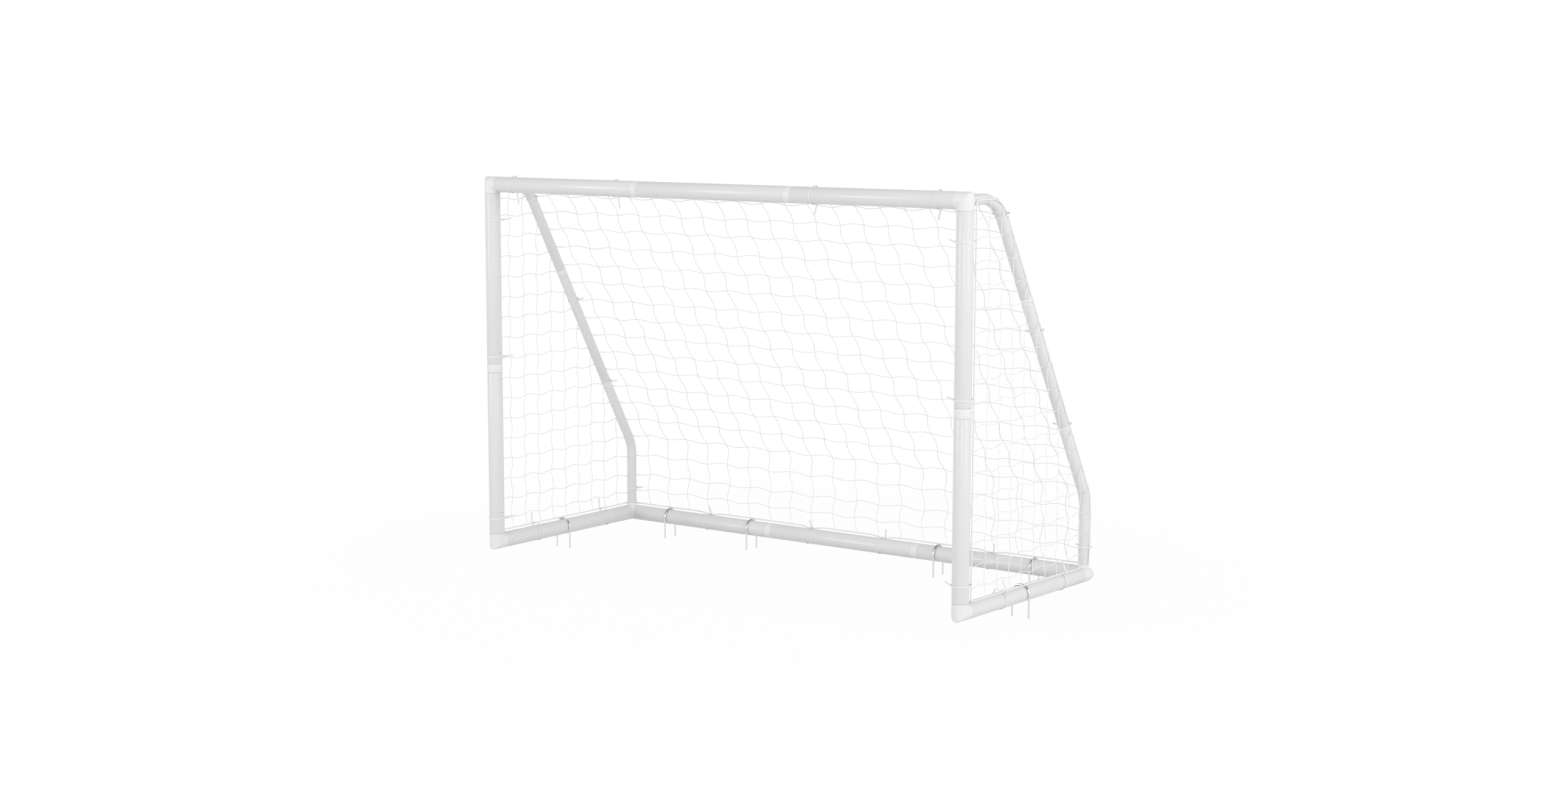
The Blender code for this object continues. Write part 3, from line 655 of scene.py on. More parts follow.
class GOAL_OT_stage(bpy.types.Operator):
    """Floor, soft light and camera"""

    bl_idname = "goal.stage"
    bl_label = "Stage"

    def execute(self, context):
        studio = context.scene.goal_studio
        deselect()
        bpy.ops.mesh.primitive_plane_add(size=40.0, location=(0, 0, 0))
        floor = take("floor")
        floor.data.materials.append(self.floor_finish())
        self.room(context.scene, studio.sky)
        self.lamp("key_lamp", (10.5, -1.4, 2.6), 7.0, studio.key)
        self.lamp("left_lamp", (-4.8, -8.0, 2.0), 2.9, studio.left)
        self.lamp("right_lamp", (4.9, -8.1, 1.8), 1.5, studio.right)
        self.camera(context.scene, studio)
        context.scene.view_settings.view_transform = "Standard"
        return {"FINISHED"}

    def floor_finish(self):
        """Pale ground that the camera sees nearly white, with the goal's shadow on it."""
        material, tree, shader = new_finish("pale_floor")
        _, either = seen_by_rays(tree)
        coords = add_node(tree, "ShaderNodeTexCoord")
        reach = add_node(tree, "ShaderNodeVectorMath", {0: coords.outputs["Object"]}, operation="LENGTH")
        fade = faded(tree, reach.outputs["Value"], *FLOOR_FADE)
        tone = add_node(tree, "ShaderNodeMix", {"A": GROUND_TONE, "B": SEEN_TONE,
                                                "Factor": either}, data_type="RGBA")
        feed(tree, shader, {"Base Color": tone.outputs["Result"], "Roughness": 1.0,
                            "Specular IOR Level": 0.0})
        mixed(tree, calculate(tree, "MULTIPLY", either, fade), shader,
              add_node(tree, "ShaderNodeEmission"), tree.nodes["Material Output"])
        return material

    def room(self, scene, strength):
        """Even soft light, a white room for the camera, reflections darker higher up."""
        world = bpy.data.worlds.new("studio")
        scene.world = world
        world.use_nodes = True
        tree = world.node_tree
        tree.nodes.clear()
        camera, either = seen_by_rays(tree)
        coords = add_node(tree, "ShaderNodeTexCoord")
        parts = add_node(tree, "ShaderNodeSeparateXYZ", {0: coords.outputs["Generated"]})
        wall = calculate(tree, "MAXIMUM", faded(tree, parts.outputs[2], *ROOM_FADE), camera)
        soft = add_node(tree, "ShaderNodeBackground", {"Color": (1, 1, 1, 1), "Strength": strength})
        white = add_node(tree, "ShaderNodeBackground", {"Color": wall})
        mixed(tree, either, soft, white, add_node(tree, "ShaderNodeOutputWorld"))

    def lamp(self, name, place, size, power):
        deselect()
        bpy.ops.object.light_add(type="AREA", location=place,
                                 rotation=aim(Vector(place) - AIM).to_euler())
        lamp = take(name).data
        lamp.shape, lamp.size, lamp.energy = "SQUARE", size, power

    def camera(self, scene, studio):
        turn, dip, lean = studio.turn, studio.dip, studio.lean
        ahead = Vector((-math.sin(turn) * math.cos(dip), math.cos(turn) * math.cos(dip), -math.sin(dip)))
        right = Vector((math.cos(turn), math.sin(turn), 0))
        down = ahead.cross(right)
        x_axis = math.cos(lean) * right + math.sin(lean) * down
        y_axis = math.sin(lean) * right - math.cos(lean) * down
        turned = Matrix((x_axis, y_axis, -ahead)).transposed()
        deselect()
        bpy.ops.object.camera_add(location=studio.eye, rotation=turned.to_euler())
        scene.camera = bpy.context.object
        camera = scene.camera.data
        camera.sensor_width, camera.lens, camera.clip_end = 36.0, studio.lens, 100.0
        camera.shift_x, camera.shift_y = studio.shift


# Pipes and what joins them. A button's stud lies LEAF_END from the end of its box. A front
# corner's spigots, upright and level, end at FOOT_SPIGOTS from its axes, and the stubs' seams
# are measured so too. A stay's joints lie along its slope from its upper and lower corners.

LEAF_END = 0.007
BUTTONS = ("upper_button_", "lower_button_", "foot_button_", "rail_button_")
HOLED = {"post_upper_": BUTTONS[:1], "post_lower_": BUTTONS[1:3], "side_rail_": BUTTONS[3:],
         "post_coupling_": BUTTONS[:2], "corner_front_": BUTTONS[2:]}
HOLE_GAP = 0.0002
POST_BAND, BAND = 0.028, 0.025
POST_SPIGOT, POST_BAND_HALF = 0.040, 0.015
SPIGOT, FOOT_SPIGOTS = 0.045, (0.1078, 0.0715)
STUB_SPIGOT, STUB_BORE = 0.034, 0.036
TOP_STUB, REAR_STUB = 0.029, 0.032
UPPER_JOINT, LOWER_JOINT = 0.3535, 0.2616
SEAM_GAP, STAY_EDGE = 0.0003, 0.0004

# Shares: of the rims' rounding on a band, of the pipe's wall that a stub starts in, and of the
# mitre's rounding, in the middle of its edge and how much that changes to either side.

BAND_RIM, STUB_SUNK = 0.6, 0.6
MITRE_MIDDLE, MITRE_CHANGE = 0.70, 0.30


def button_spot(name):
    """Point of the pipe's axis under a stud, the way out of the pipe and the leaf's way."""
    low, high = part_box(name)
    side = 1 if low.x > 0 else -1
    out = Vector((-side, 0, 0))
    if name.startswith("rail"):
        return Vector((side * POST_X, high.y - LEAF_END, RAIL_Z)), out, -BACK
    if name.startswith("lower"):
        return Vector((side * POST_X, FRONT_Y, low.z + LEAF_END)), out, UP
    return Vector((side * POST_X, FRONT_Y, high.z - LEAF_END)), out, -UP


def drill(obj, name):
    """Cut the round holes of the snap buttons that a node carries."""
    for button in HOLED.get(name[:-1], ()):
        at, out, _ = button_spot(button + name[-1])
        combine(obj, "DIFFERENCE", rod("hole", at + out * PIPE_R / 2, at + out * PIPE_R * 1.5,
                                       sizes().stud / 2 + HOLE_GAP, 32))


def complete(piece, name, material, degrees=32):
    """Drill a piece of the goal, smooth it and hand it over for its node."""
    drill(piece, name)
    smooth(piece, degrees)
    hand_over(piece, "goal", [name], material)


def axis_point(name, axis):
    """Point of a straight part's axis in the plane through the origin across it."""
    centre = middle_of(name)
    return centre - axis * centre.dot(axis)


class GOAL_OT_pipes(bpy.types.Operator):
    """Posts, crossbar and base rails"""

    bl_idname = "goal.pipes"
    bl_label = "Straight pipes"

    def execute(self, context):
        for tag, _ in SIDES:
            self.pipe("post_upper_" + tag, UP)
            self.pipe("post_lower_" + tag, UP)
        for tag, _ in SIDES:
            self.pipe("side_rail_" + tag, BACK)
        for bar in ("crossbar_", "rear_rail_"):
            for part in ("left", "middle", "right"):
                self.pipe(bar + part, ALONG_X)
        return {"FINISHED"}

    def pipe(self, name, axis):
        s = sizes()
        centre = axis_point(name, axis)
        ends = [corner.dot(axis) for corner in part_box(name)]
        pipe = rod(name + "_pipe", centre + axis * ends[0], centre + axis * ends[1], PIPE_R)
        edit(pipe, "FACE")
        bore(pipe, axis, *ends, s.pipe_wall)
        round_rims(pipe, axis, ends, PIPE_R, s.rim * (2 if axis == UP else 1))
        leave_edit()
        outward_normals(pipe)
        complete(pipe, name, pipe_coat())


class GOAL_OT_couplings(bpy.types.Operator):
    """Bands with spigots between the pipes"""

    bl_idname = "goal.couplings"
    bl_label = "Couplings"

    def execute(self, context):
        s, slope = sizes(), StayLine().slope
        along = Vector((0, math.cos(slope), -math.sin(slope)))
        for tag, _ in SIDES:
            self.coupling("post_coupling_" + tag, UP, PIPE_R, POST_BAND, s.pipe_wall)
            for bar in ("crossbar", "rear_rail"):
                self.coupling(bar + "_coupling_" + tag, ALONG_X, PIPE_R, BAND, s.pipe_wall)
            for level in ("upper_", "lower_"):
                self.coupling("stay_coupling_" + level + tag, along, STAY_R, BAND, s.stay_wall)
        return {"FINISHED"}

    def coupling(self, name, axis, radius, band, wall):
        s = sizes()
        places = [v.co.dot(axis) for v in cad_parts[name].data.vertices]
        low, high = min(places), max(places)
        centre = axis_point(name, axis)
        middle = low + POST_SPIGOT + POST_BAND_HALF if name.startswith("post") else (low + high) / 2
        seams = middle - band / 2, middle + band / 2
        piece = rod(name + "_band", centre + axis * seams[0], centre + axis * seams[1], radius,
                    64 if radius > STAY_R else 48)
        edit(piece, "FACE")
        spigot = radius - wall - s.spigot_slack
        for seam, tip in zip(seams, (low, high)):
            choose_ends(piece, axis, seam)
            inset(radius - spigot)
            extrude(axis * (tip - seam))
        bore(piece, axis, low, high, s.spigot_wall)
        round_rims(piece, axis, seams, radius, s.rim * BAND_RIM)
        leave_edit()
        outward_normals(piece)
        complete(piece, name, white_moulding())


class GOAL_OT_corners(bpy.types.Operator):
    """Mitred corner fittings with spigots and stubs for the stays"""

    bl_idname = "goal.corners"
    bl_label = "Corner fittings"

    def execute(self, context):
        plain = sizes().seam + SPIGOT
        elbow = self.elbow(plain, plain)
        foot = self.elbow(*FOOT_SPIGOTS)
        for tag, side in SIDES:
            top = Vector((side * POST_X, FRONT_Y, BAR_Z))
            front = Vector((side * POST_X, FRONT_Y, RAIL_Z))
            rear = Vector((side * POST_X, REAR_Y, RAIL_Z))
            across = Vector((-side, 0, 0))
            self.place(elbow, "corner_top_" + tag, top, across, UP, (BACK, TOP_STUB))
            self.place(foot, "corner_front_" + tag, front, BACK, -UP, None)
            self.place(elbow, "corner_rear_" + tag, rear, across, BACK, (UP, REAR_STUB))
        remove(elbow, foot)
        return {"FINISHED"}

    def elbow(self, down_end, side_end):
        """Legs along -Z and +X, cut on the mitre plane and joined, then rounded there."""
        s = sizes()
        lower = rod("elbow", (0, 0, -s.seam), (0, 0, PIPE_R * 1.6), PIPE_R)
        edit_all(lower)
        bpy.ops.mesh.bisect(plane_co=(0, 0, 0), plane_no=(1, 0, 1), clear_outer=True)
        leave_edit()
        mitre = Matrix(((0, 0, -1, 0), (0, 1, 0, 0), (-1, 0, 0, 0), (0, 0, 0, 1)))
        elbow = join(lower, copy_of(lower, "elbow_level", mitre))
        outward_normals(elbow)
        edit(elbow, "FACE")
        tube = PIPE_R - s.pipe_wall - s.spigot_slack
        for out, end in ((-UP, down_end), (ALONG_X, side_end)):
            choose_ends(elbow, out, s.seam)
            hollow_spigot(PIPE_R - tube, out, end - s.seam, end - tube)
        leave_edit()
        self.round_mitre(elbow)
        outward_normals(elbow)
        smooth(elbow, 40)
        return elbow

    def round_mitre(self, elbow):
        """Rounding of the mitred edge, narrower on the inside of the corner."""
        mesh = elbow.data
        weights = mesh.attributes.new("bevel_weight_edge", "FLOAT", "EDGE")
        for edge in mesh.edges:
            ends = [mesh.vertices[index].co for index in edge.vertices]
            on_mitre = all(abs(p.x + p.z) < 1e-5 and abs(math.hypot(p.x, p.y) - PIPE_R) < 1e-5
                           for p in ends)
            share = (ends[0].x + ends[1].x) / 2 / PIPE_R
            weight = MITRE_MIDDLE - MITRE_CHANGE * share
            weights.data[edge.index].value = weight if on_mitre else 0.0
        add_step(elbow, "BEVEL", limit_method="WEIGHT", width=sizes().mitre_rounding,
                 segments=5, use_clamp_overlap=False)
        apply_all(elbow)

    def place(self, elbow, name, at, leg_x, leg_up, stub):
        """Copy the elbow with its +X leg along leg_x and its -Z leg against leg_up."""
        piece = copy_of(elbow, name + "_fitting", seat(at, leg_x, leg_up.cross(leg_x), leg_up))
        if stub is not None:
            self.add_stub(piece, at, *stub)
        complete(piece, name, white_moulding(), 40)

    def add_stub(self, piece, at, along, seam):
        s = sizes()
        root = math.sqrt(PIPE_R ** 2 - STAY_R ** 2) - s.pipe_wall * STUB_SUNK
        stub = rod("stub", at + along * root, at + along * seam, STAY_R, 48)
        spigot = STAY_R - s.stay_wall - s.spigot_slack
        end = at.dot(along) + seam
        edit(stub, "FACE")
        choose_ends(stub, along, end)
        hollow_spigot(STAY_R - spigot, along, STUB_SPIGOT, STUB_BORE)
        round_rims(stub, along, (end,), STAY_R, s.rim)
        leave_edit()
        outward_normals(stub)
        combine(piece, "UNION", stub)


class GOAL_OT_stays(bpy.types.Operator):
    """Bent rear stays"""

    bl_idname = "goal.stays"
    bl_label = "Stays"

    def execute(self, context):
        line = StayLine()
        upper = line.slope_start + UPPER_JOINT - line.top_tangent
        lower = line.slope_end - LOWER_JOINT + line.foot_tangent
        half = BAND / 2 + SEAM_GAP
        spans = (("stay_top_", TOP_STUB + SEAM_GAP, upper - half),
                 ("stay_middle_", upper + half, lower - half),
                 ("stay_foot_", lower + half, line.end - REAR_STUB - SEAM_GAP))
        for tag, side in SIDES:
            for name, start, end in spans:
                self.stay(line, name + tag, side, start, end)
        return {"FINISHED"}

    def stay(self, line, name, side, start, end):
        y, z, angle = line.at(start)
        heading = Vector((0, math.cos(angle), -math.sin(angle)))
        deselect()
        bpy.ops.mesh.primitive_circle_add(vertices=48, radius=STAY_R, fill_type="NOTHING",
                                          location=(side * POST_X, y, z),
                                          rotation=aim(heading).to_euler())
        pipe = settle(take(name + "_pipe"))
        edit_all(pipe)
        here = start
        for first, last in ((line.level_end, line.slope_start), (line.slope_end, line.upright_start)):
            if not here <= first < end:
                continue
            self.run(line, here, first)
            y, z, angle = line.at(first)
            turn = line.at(last)[2] - angle
            bpy.ops.mesh.spin(steps=max(6, round(22 * turn)), angle=turn, axis=(1, 0, 0),
                              center=(side * POST_X, y - line.bend * math.sin(angle),
                                      z - line.bend * math.cos(angle)))
            here = last
        self.run(line, here, end)
        leave_edit()
        outward_normals(pipe)
        add_step(pipe, "SOLIDIFY", thickness=sizes().stay_wall, offset=-1.0)
        soften(pipe, STAY_EDGE, 60)
        apply_all(pipe)
        complete(pipe, name, pipe_coat())

    def run(self, line, start, end):
        if end - start > 1e-6:
            (y0, z0, _), (y1, z1, _) = line.at(start), line.at(end)
            extrude((0, y1 - y0, z1 - z0))


# Ropes and netting. Ties draw the ropes behind the bar and over the rear rail to the pipes.
# A tie's place along X goes with the lean of its tail.

BAR_TIES = {-0.799: 0.04, -0.378: 0.04, 0.376: -0.40, 0.801: -0.36}
REAR_TIES = {-0.553: -0.40, -0.134: -0.38, 0.150: 0.07, 0.556: 0.08}
ROPE_PULL, PULL_WIDTH, PULL_DEPTH = 0.0070, 0.028, 0.025
ROPE_TAPER = 0.0012


def rope_way(rope, y, z):
    """From a pipe's axis to the rope beside it."""
    middle = middle_of(rope)
    return Vector((0, middle.y - y, middle.z - z))


def pulled(x, ties):
    """How far the rope is drawn to its pipe at a place along it."""
    return ROPE_PULL * max(math.exp(-((x - tie) / PULL_WIDTH) ** 2) for tie in ties)


def sway(wave, place):
    width, length, crest = wave
    return width * math.cos(2 * math.pi * (place - crest) / length)


def evenly(start, stop, count):
    return [start + (stop - start) * i / count for i in range(count + 1)]


def strands(name, lines, radius, resolution=1, closed=False, tapered=False):
    """Round strands along lines of points, with a UV map in metres along and turns round."""
    curve = bpy.data.curves.new(name, "CURVE")
    curve.dimensions = "3D"
    curve.bevel_depth = radius
    curve.bevel_resolution = resolution
    curve.use_fill_caps = False
    for line in lines:
        spline = curve.splines.new("POLY")
        spline.points.add(len(line) - 1)
        for knot, point in zip(spline.points, line):
            knot.co = (*point, 1.0)
        spline.use_cyclic_u = closed
        if tapered:
            for index, share in ((0, 0.02), (1, 0.8), (-2, 0.8), (-1, 0.02)):
                spline.points[index].radius = share
    obj = bpy.data.objects.new(name, curve)
    bpy.context.scene.collection.objects.link(obj)
    activate(obj)
    bpy.ops.object.convert(target="MESH")
    obj = take(name)
    layer = obj.data.uv_layers.active
    layer.name = "UVMap"
    uv = np.zeros(len(layer.data) * 2, np.float32)
    layer.data.foreach_get("uv", uv)
    uv = uv.reshape(-1, 2)
    start, corners = 0, (2 * resolution + 4) * 4
    for line in lines:
        ring = list(line) + ([line[0]] if closed else [])
        end = start + (len(ring) - 1) * corners
        uv[start:end, 0] *= sum((Vector(b) - Vector(a)).length for a, b in zip(ring, ring[1:]))
        start = end
    layer.data.foreach_set("uv", uv.ravel())
    return obj


class GOAL_OT_ropes(bpy.types.Operator):
    """Border ropes"""

    bl_idname = "goal.ropes"
    bl_label = "Border ropes"

    def execute(self, context):
        s, line = sizes(), StayLine()
        # The last number is the painted shade in the cord's grooves.
        finish = twine("braided_cord", finishes().cord, 130.0, 0.08)
        for tag, side in SIDES:
            rope = strands("side_rope_cord_" + tag, [self.side_route(line, side)], s.rope / 2, 3,
                           closed=True)
            hand_over(rope, "goal", ["side_rope_" + tag], finish)
        for name, ties, y, z in (("top_rope", BAR_TIES, FRONT_Y, BAR_Z),
                                 ("rear_rope", REAR_TIES, REAR_Y, RAIL_Z)):
            low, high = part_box(name)
            way = rope_way(name, y, z)
            places = evenly(low.x, high.x, 180)
            places[1:1], places[-1:-1] = [low.x + ROPE_TAPER], [high.x - ROPE_TAPER]
            route = [Vector((x, y, z)) + way * (1 - pulled(x, ties) / way.length) for x in places]
            rope = strands(name + "_cord", [route], s.rope / 2, 3, tapered=True)
            hand_over(rope, "goal", [name], finish)
        return {"FINISHED"}

    def side_route(self, line, side, step=0.03):
        """Down the stay, along the rail and up the post, with rounded corners."""
        s = sizes()
        route = [line.rope_point(station, side) for station in
                 line.stations(s.rope_standoff, line.rope_foot, step)]
        corner, lower = route[0], route[-1]
        start = Vector((side * (POST_X + s.net_standoff), FRONT_Y + s.rope_standoff,
                        RAIL_Z + s.rope_standoff))
        for first, last in ((lower, start), (start, corner)):
            count = max(2, round((last - first).length / step))
            route += [first.lerp(last, i / count) for i in range(1, count)]
            if last is start:
                route.append(start)
        return self.rounded(route)

    def rounded(self, points, radius=0.006, steps=4):
        route = []
        for index, corner in enumerate(points):
            before = points[index - 1] - corner
            after = points[(index + 1) % len(points)] - corner
            if before.angle(after) > math.radians(150):
                route.append(corner)
                continue
            for share in evenly(0.0, 1.0, steps):
                route.append(corner + before.normalized() * radius * (1 - share) ** 2
                             + after.normalized() * radius * share ** 2)
        return route


# Places of the net's strands: columns across, rows down the slope from its upper edge, rows
# over the rear rail's axis, columns and rows of the side nets from the post's and rail's axes.

BACK_COLUMNS, FIRST_COLUMN = 20, -0.8258
SLOPE_FIRST, SLOPE_MESH, TOP_ROWS = 0.2711, 0.07157, [0.2004, 0.1352, 0.0699, 0.0046]
SLOPE_ROWS = [SLOPE_FIRST + SLOPE_MESH * k for k in range(12)] + TOP_ROWS
FOOT_ROWS = (0.2005, 0.1326, 0.0785)
SIDE_COLUMNS = {-1: (0.0948, 0.0681), 1: (0.1020, 0.0673)}
LOWEST_ROW, FIRST_ROW, HIGHEST_ROW = 0.0685, 0.1296, 1.118
COLUMN_COUNT, ROW_COUNT = 9, 15

# Waves of the strands: width, length and the place of a crest.

COLUMN_WAVE, ROW_WAVE = (0.0056, 0.119, 0.119), (0.0043, 0.1445, 0.144)
SIDE_COLUMN_WAVE, SIDE_ROW_WAVE = (0.0043, 0.111, 0.0296), (0.0041, 0.111, 0.0795)


class GOAL_OT_nets(bpy.types.Operator):
    """Netting over the top, down the back and on both sides"""

    bl_idname = "goal.nets"
    bl_label = "Nets"

    def execute(self, context):
        self.line = StayLine()
        self.marks = np.linspace(0.0, self.line.end, 1600)
        self.places = np.array([self.line.at(float(mark)) for mark in self.marks])
        # The last number is the painted shade in the twine's grooves.
        finish = twine("net_twine", finishes().twine, 420.0, 0.05)
        hand_over(self.back_net(), "goal", ["net_top", "net_slope", "net_foot"], finish)
        for tag, side in SIDES:
            hand_over(self.side_net(side), "goal", ["side_net_" + tag], finish)
        return {"FINISHED"}

    def slope_place(self, station):
        """Distance down the slope from where the net's planes over and behind would meet."""
        line, out = self.line, sizes().net_standoff
        place = station - line.slope_start + line.top_tangent + out * math.tan(line.slope / 2)
        if station < line.slope_start:
            place -= out * (line.slope_start - max(station, line.level_end)) / line.bend
        if station > line.slope_end:
            place += out * (min(station, line.upright_start) - line.slope_end) / line.bend
        return place

    def station_at(self, place):
        low, high = 0.0, self.line.end
        for _ in range(40):
            mid = (low + high) / 2
            low, high = (mid, high) if self.slope_place(mid) < place else (low, mid)
        return (low + high) / 2

    def back_point(self, x, station, border=0.05):
        """Point of the back net; past the stays it curves round them to the border rope."""
        s, line = sizes(), self.line
        sideways = abs(x) - POST_X
        out = s.net_standoff
        if sideways > 0:
            end = line.rope_turn(station)
            share = min(1.0, sideways / (line.rope_reach * math.cos(end) + 1e-9))
            turn = math.pi / 2 + (end - math.pi / 2) * share
            return line.beside(station, out + (line.rope_reach - out) * share, turn, 1 if x > 0 else -1)
        if station < border:
            share = max(0.0, (station - s.rope_standoff) / (border - s.rope_standoff))
            lifted = line.rope_reach + 0.0001
            out = lifted + (out - lifted) * share
        y, z, _ = line.at(station, out)
        return self.drawn(Vector((x, y, z)), station)

    def drawn(self, point, station):
        """Move the net's two edges with their ropes where ties draw those to the pipes."""
        for beyond, ties, way in (
                (station - sizes().rope_standoff, BAR_TIES, rope_way("top_rope", FRONT_Y, BAR_Z)),
                (self.line.rope_foot - station, REAR_TIES,
                 rope_way("rear_rope", REAR_Y, RAIL_Z))):
            share = max(0.0, 1 - beyond / PULL_DEPTH)
            point = point - way.normalized() * (share * pulled(point.x, ties))
        return point

    def back_net(self, step=0.0085, row_step=0.0095):
        s, line = sizes(), self.line
        first, last = self.slope_place(s.rope_standoff), self.slope_place(line.rope_foot)
        stations = [self.station_at(place) for place in evenly(first, last, round((last - first) / step))]
        lines = []
        for k in range(BACK_COLUMNS):
            x = FIRST_COLUMN + s.back_mesh * k
            lines.append([self.back_point(
                x + sway(COLUMN_WAVE, self.slope_place(t)), t) for t in stations])
        marks = [self.station_at(place) for place in SLOPE_ROWS]
        for mark in marks + [line.end - height for height in FOOT_ROWS]:
            end = line.rope_reach * math.cos(line.rope_turn(mark))
            half = POST_X + end
            xs = [-half + end * i / 4 for i in range(4)]
            xs += evenly(-POST_X, POST_X, round(2 * POST_X / row_step))
            xs += [half - end * i / 4 for i in reversed(range(4))]
            lines.append([self.back_point(x, mark + sway(ROW_WAVE, x)) for x in xs])
        return strands("back_net", lines, s.strand / 2)

    def side_point(self, side, y, z):
        """Point of a side net, and how far it lies beyond the border rope on the stay."""
        s, line = sizes(), self.line
        near = int(np.argmin((self.places[:, 0] - y) ** 2 + (self.places[:, 1] - z) ** 2))
        y0, z0, angle = self.places[near]
        outward = float((y - y0) * math.sin(angle) + (z - z0) * math.cos(angle))
        sideways = s.net_standoff
        end = line.rope_reach * math.sin(line.rope_turn(float(self.marks[near])))
        if outward > 0 and end > 1e-6:
            share = min(1.0, outward / end)
            radius = s.net_standoff + (line.rope_reach - s.net_standoff) * share
            sideways = math.sqrt(max(radius ** 2 - outward ** 2, 1e-12))
        return Vector((side * (POST_X + sideways), y, z)), outward - end

    def side_line(self, side, start, limit, point_at, step=0.007):
        """Strand in steps from its start to a limit, or up to where it meets the rope."""
        route = []
        place = start
        while place < limit:
            point, beyond = self.side_point(side, *point_at(place))
            route.append(point)
            if beyond > 0:
                break
            place += step
        return route

    def side_net(self, side):
        s = sizes()
        first, mesh = SIDE_COLUMNS[side]
        lines = []
        for k in range(COLUMN_COUNT):
            y = FRONT_Y + first + mesh * k
            lines.append(self.side_line(
                side, RAIL_Z + s.rope_standoff, BAR_Z + 0.03,
                lambda z, y=y: (y + sway(SIDE_COLUMN_WAVE, z - RAIL_Z), z)))
        rows = [FIRST_ROW + s.side_mesh * k for k in range(ROW_COUNT)]
        for height in [LOWEST_ROW] + rows + [HIGHEST_ROW]:
            z = RAIL_Z + height
            lines.append(self.side_line(
                side, FRONT_Y + s.rope_standoff, REAR_Y + 0.05,
                lambda y, z=z: (y, z + sway(SIDE_ROW_WAVE, y - FRONT_Y))))
        return strands("side_net_" + ("left" if side < 0 else "right"), lines, s.strand / 2)


# Snap buttons and pegs. The leaf lies LEAF_CLEAR inside the bore, and its end leaves PRESS_ROOM
# at the far side. The stud starts STUD_ROOT in the leaf and stands STUD_TOP out of the pipe.

LEAF, LEAF_WIDTH, LEAF_THICK, LEAF_EDGE = 0.0355, 0.0090, 0.0008, 0.0002
LEAF_FOLD, FOLD_TURN, LEAF_RETURN = 0.0045, math.radians(137.8), 0.004
LEAF_CLEAR, PRESS_ROOM = 0.0020, 0.0050
STUD_ROOT, STUD_TOP, STUD_ROUND, RIVET = 0.0002, 0.0018, 0.0021, 0.0004
PEG_GAP, PEG_TIP = 0.0003, 0.0016


class GOAL_OT_buttons(bpy.types.Operator):
    """Snap buttons: domed studs on folded leaf springs"""

    bl_idname = "goal.buttons"
    bl_label = "Snap buttons"

    def execute(self, context):
        first = self.button()
        for tag, _ in SIDES:
            for button in BUTTONS:
                name = button + tag
                at, out, along = button_spot(name)
                spring = copy_of(first, name + "_spring", seat(at, out, along.cross(out), along))
                smooth(spring, 40)
                hand_over(spring, name, [name], spring_steel())
        remove(first)
        return {"FINISHED"}

    def button(self):
        """Stud out along +X, leaf along +Z and folded back to bear on the bore's far side."""
        s = sizes()
        bore_r = PIPE_R - s.pipe_wall - s.spigot_slack - s.spigot_wall
        near, far, crown = bore_r - LEAF_CLEAR, PRESS_ROOM - bore_r, PIPE_R + STUD_TOP
        stud = rod("stud", (near - STUD_ROOT, 0, 0), (crown, 0, 0), s.stud / 2, 32)
        edit(stud, "EDGE")
        choose_edges(stud, lambda a, b: min(a.x, b.x) > crown - 0.00001)
        bpy.ops.mesh.bevel(offset=STUD_ROUND, segments=5, affect="EDGES")
        choose_edges(stud, lambda a, b: max(a.x, b.x) < near)
        extrude((-RIVET, 0, 0))
        leave_edit()
        stud = join(stud, self.leaf(near, far))
        outward_normals(stud)
        return stud

    def leaf(self, near, far):
        """Strip past the stud, folded at its end and back to the far side."""
        leaf = strip("leaf", LEAF, LEAF_WIDTH)
        leaf.location = (near, 0, LEAF / 2 - LEAF_END)
        settle(leaf)
        edit(leaf, "EDGE")
        top = LEAF - LEAF_END
        choose_edges(leaf, lambda a, b: min(a.z, b.z) > top - 0.00001)
        bpy.ops.mesh.spin(steps=10, angle=FOLD_TURN, axis=(0, 1, 0), center=(near - LEAF_FOLD, 0, top))
        tip = Vector((near - LEAF_FOLD + LEAF_FOLD * math.cos(FOLD_TURN), 0,
                      top + LEAF_FOLD * math.sin(FOLD_TURN)))
        extrude(Vector((far, 0, LEAF_RETURN)) - tip)
        leave_edit()
        add_step(leaf, "SOLIDIFY", thickness=LEAF_THICK, offset=0.0)
        soften(leaf, LEAF_EDGE, 50)
        apply_all(leaf)
        return leaf


class GOAL_OT_pegs(bpy.types.Operator):
    """Ground pegs: wire arches over the rails"""

    bl_idname = "goal.pegs"
    bl_label = "Ground pegs"

    def execute(self, context):
        first = self.peg()
        for name in ["side_peg_L", "side_peg_R"] + ["rear_peg_%d" % n for n in (1, 2, 3, 4)]:
            middle = middle_of(name)
            turn = Matrix.Rotation(0 if name.startswith("side") else math.pi / 2, 4, "Z")
            wire = copy_of(first, name + "_wire", Matrix.Translation((middle.x, middle.y, RAIL_Z)) @ turn)
            smooth(wire, 40)
            hand_over(wire, name, [name], plated_wire())
        remove(first)
        return {"FINISHED"}

    def peg(self):
        """Half round over the rail, two straight legs and blunt chamfered tips."""
        radius = sizes().peg_wire / 2
        gauge = PIPE_R + PEG_GAP + radius
        drop = RAIL_Z - FRAME_BOX[0][2]
        deselect()
        bpy.ops.mesh.primitive_circle_add(vertices=20, radius=radius, fill_type="NOTHING",
                                          location=(gauge, 0, 0))
        wire = settle(take("peg"))
        edit_all(wire, "EDGE")
        bpy.ops.mesh.spin(steps=36, angle=math.pi, axis=(0, 1, 0), center=(0, 0, 0))
        for sign in (1, -1):
            choose_edges(wire, lambda a, b, sign=sign: abs(a.z) + abs(b.z) < 1e-6
                         and sign * a.x > 0 and sign * b.x > 0)
            extrude((0, 0, PEG_TIP - drop))
            extrude((0, 0, -PEG_TIP))
            bpy.ops.transform.resize(value=(0.5, 0.5, 1.0), center_override=(sign * gauge, 0, -drop))
            bpy.ops.mesh.edge_face_add()
        leave_edit()
        outward_normals(wire)
        return wire


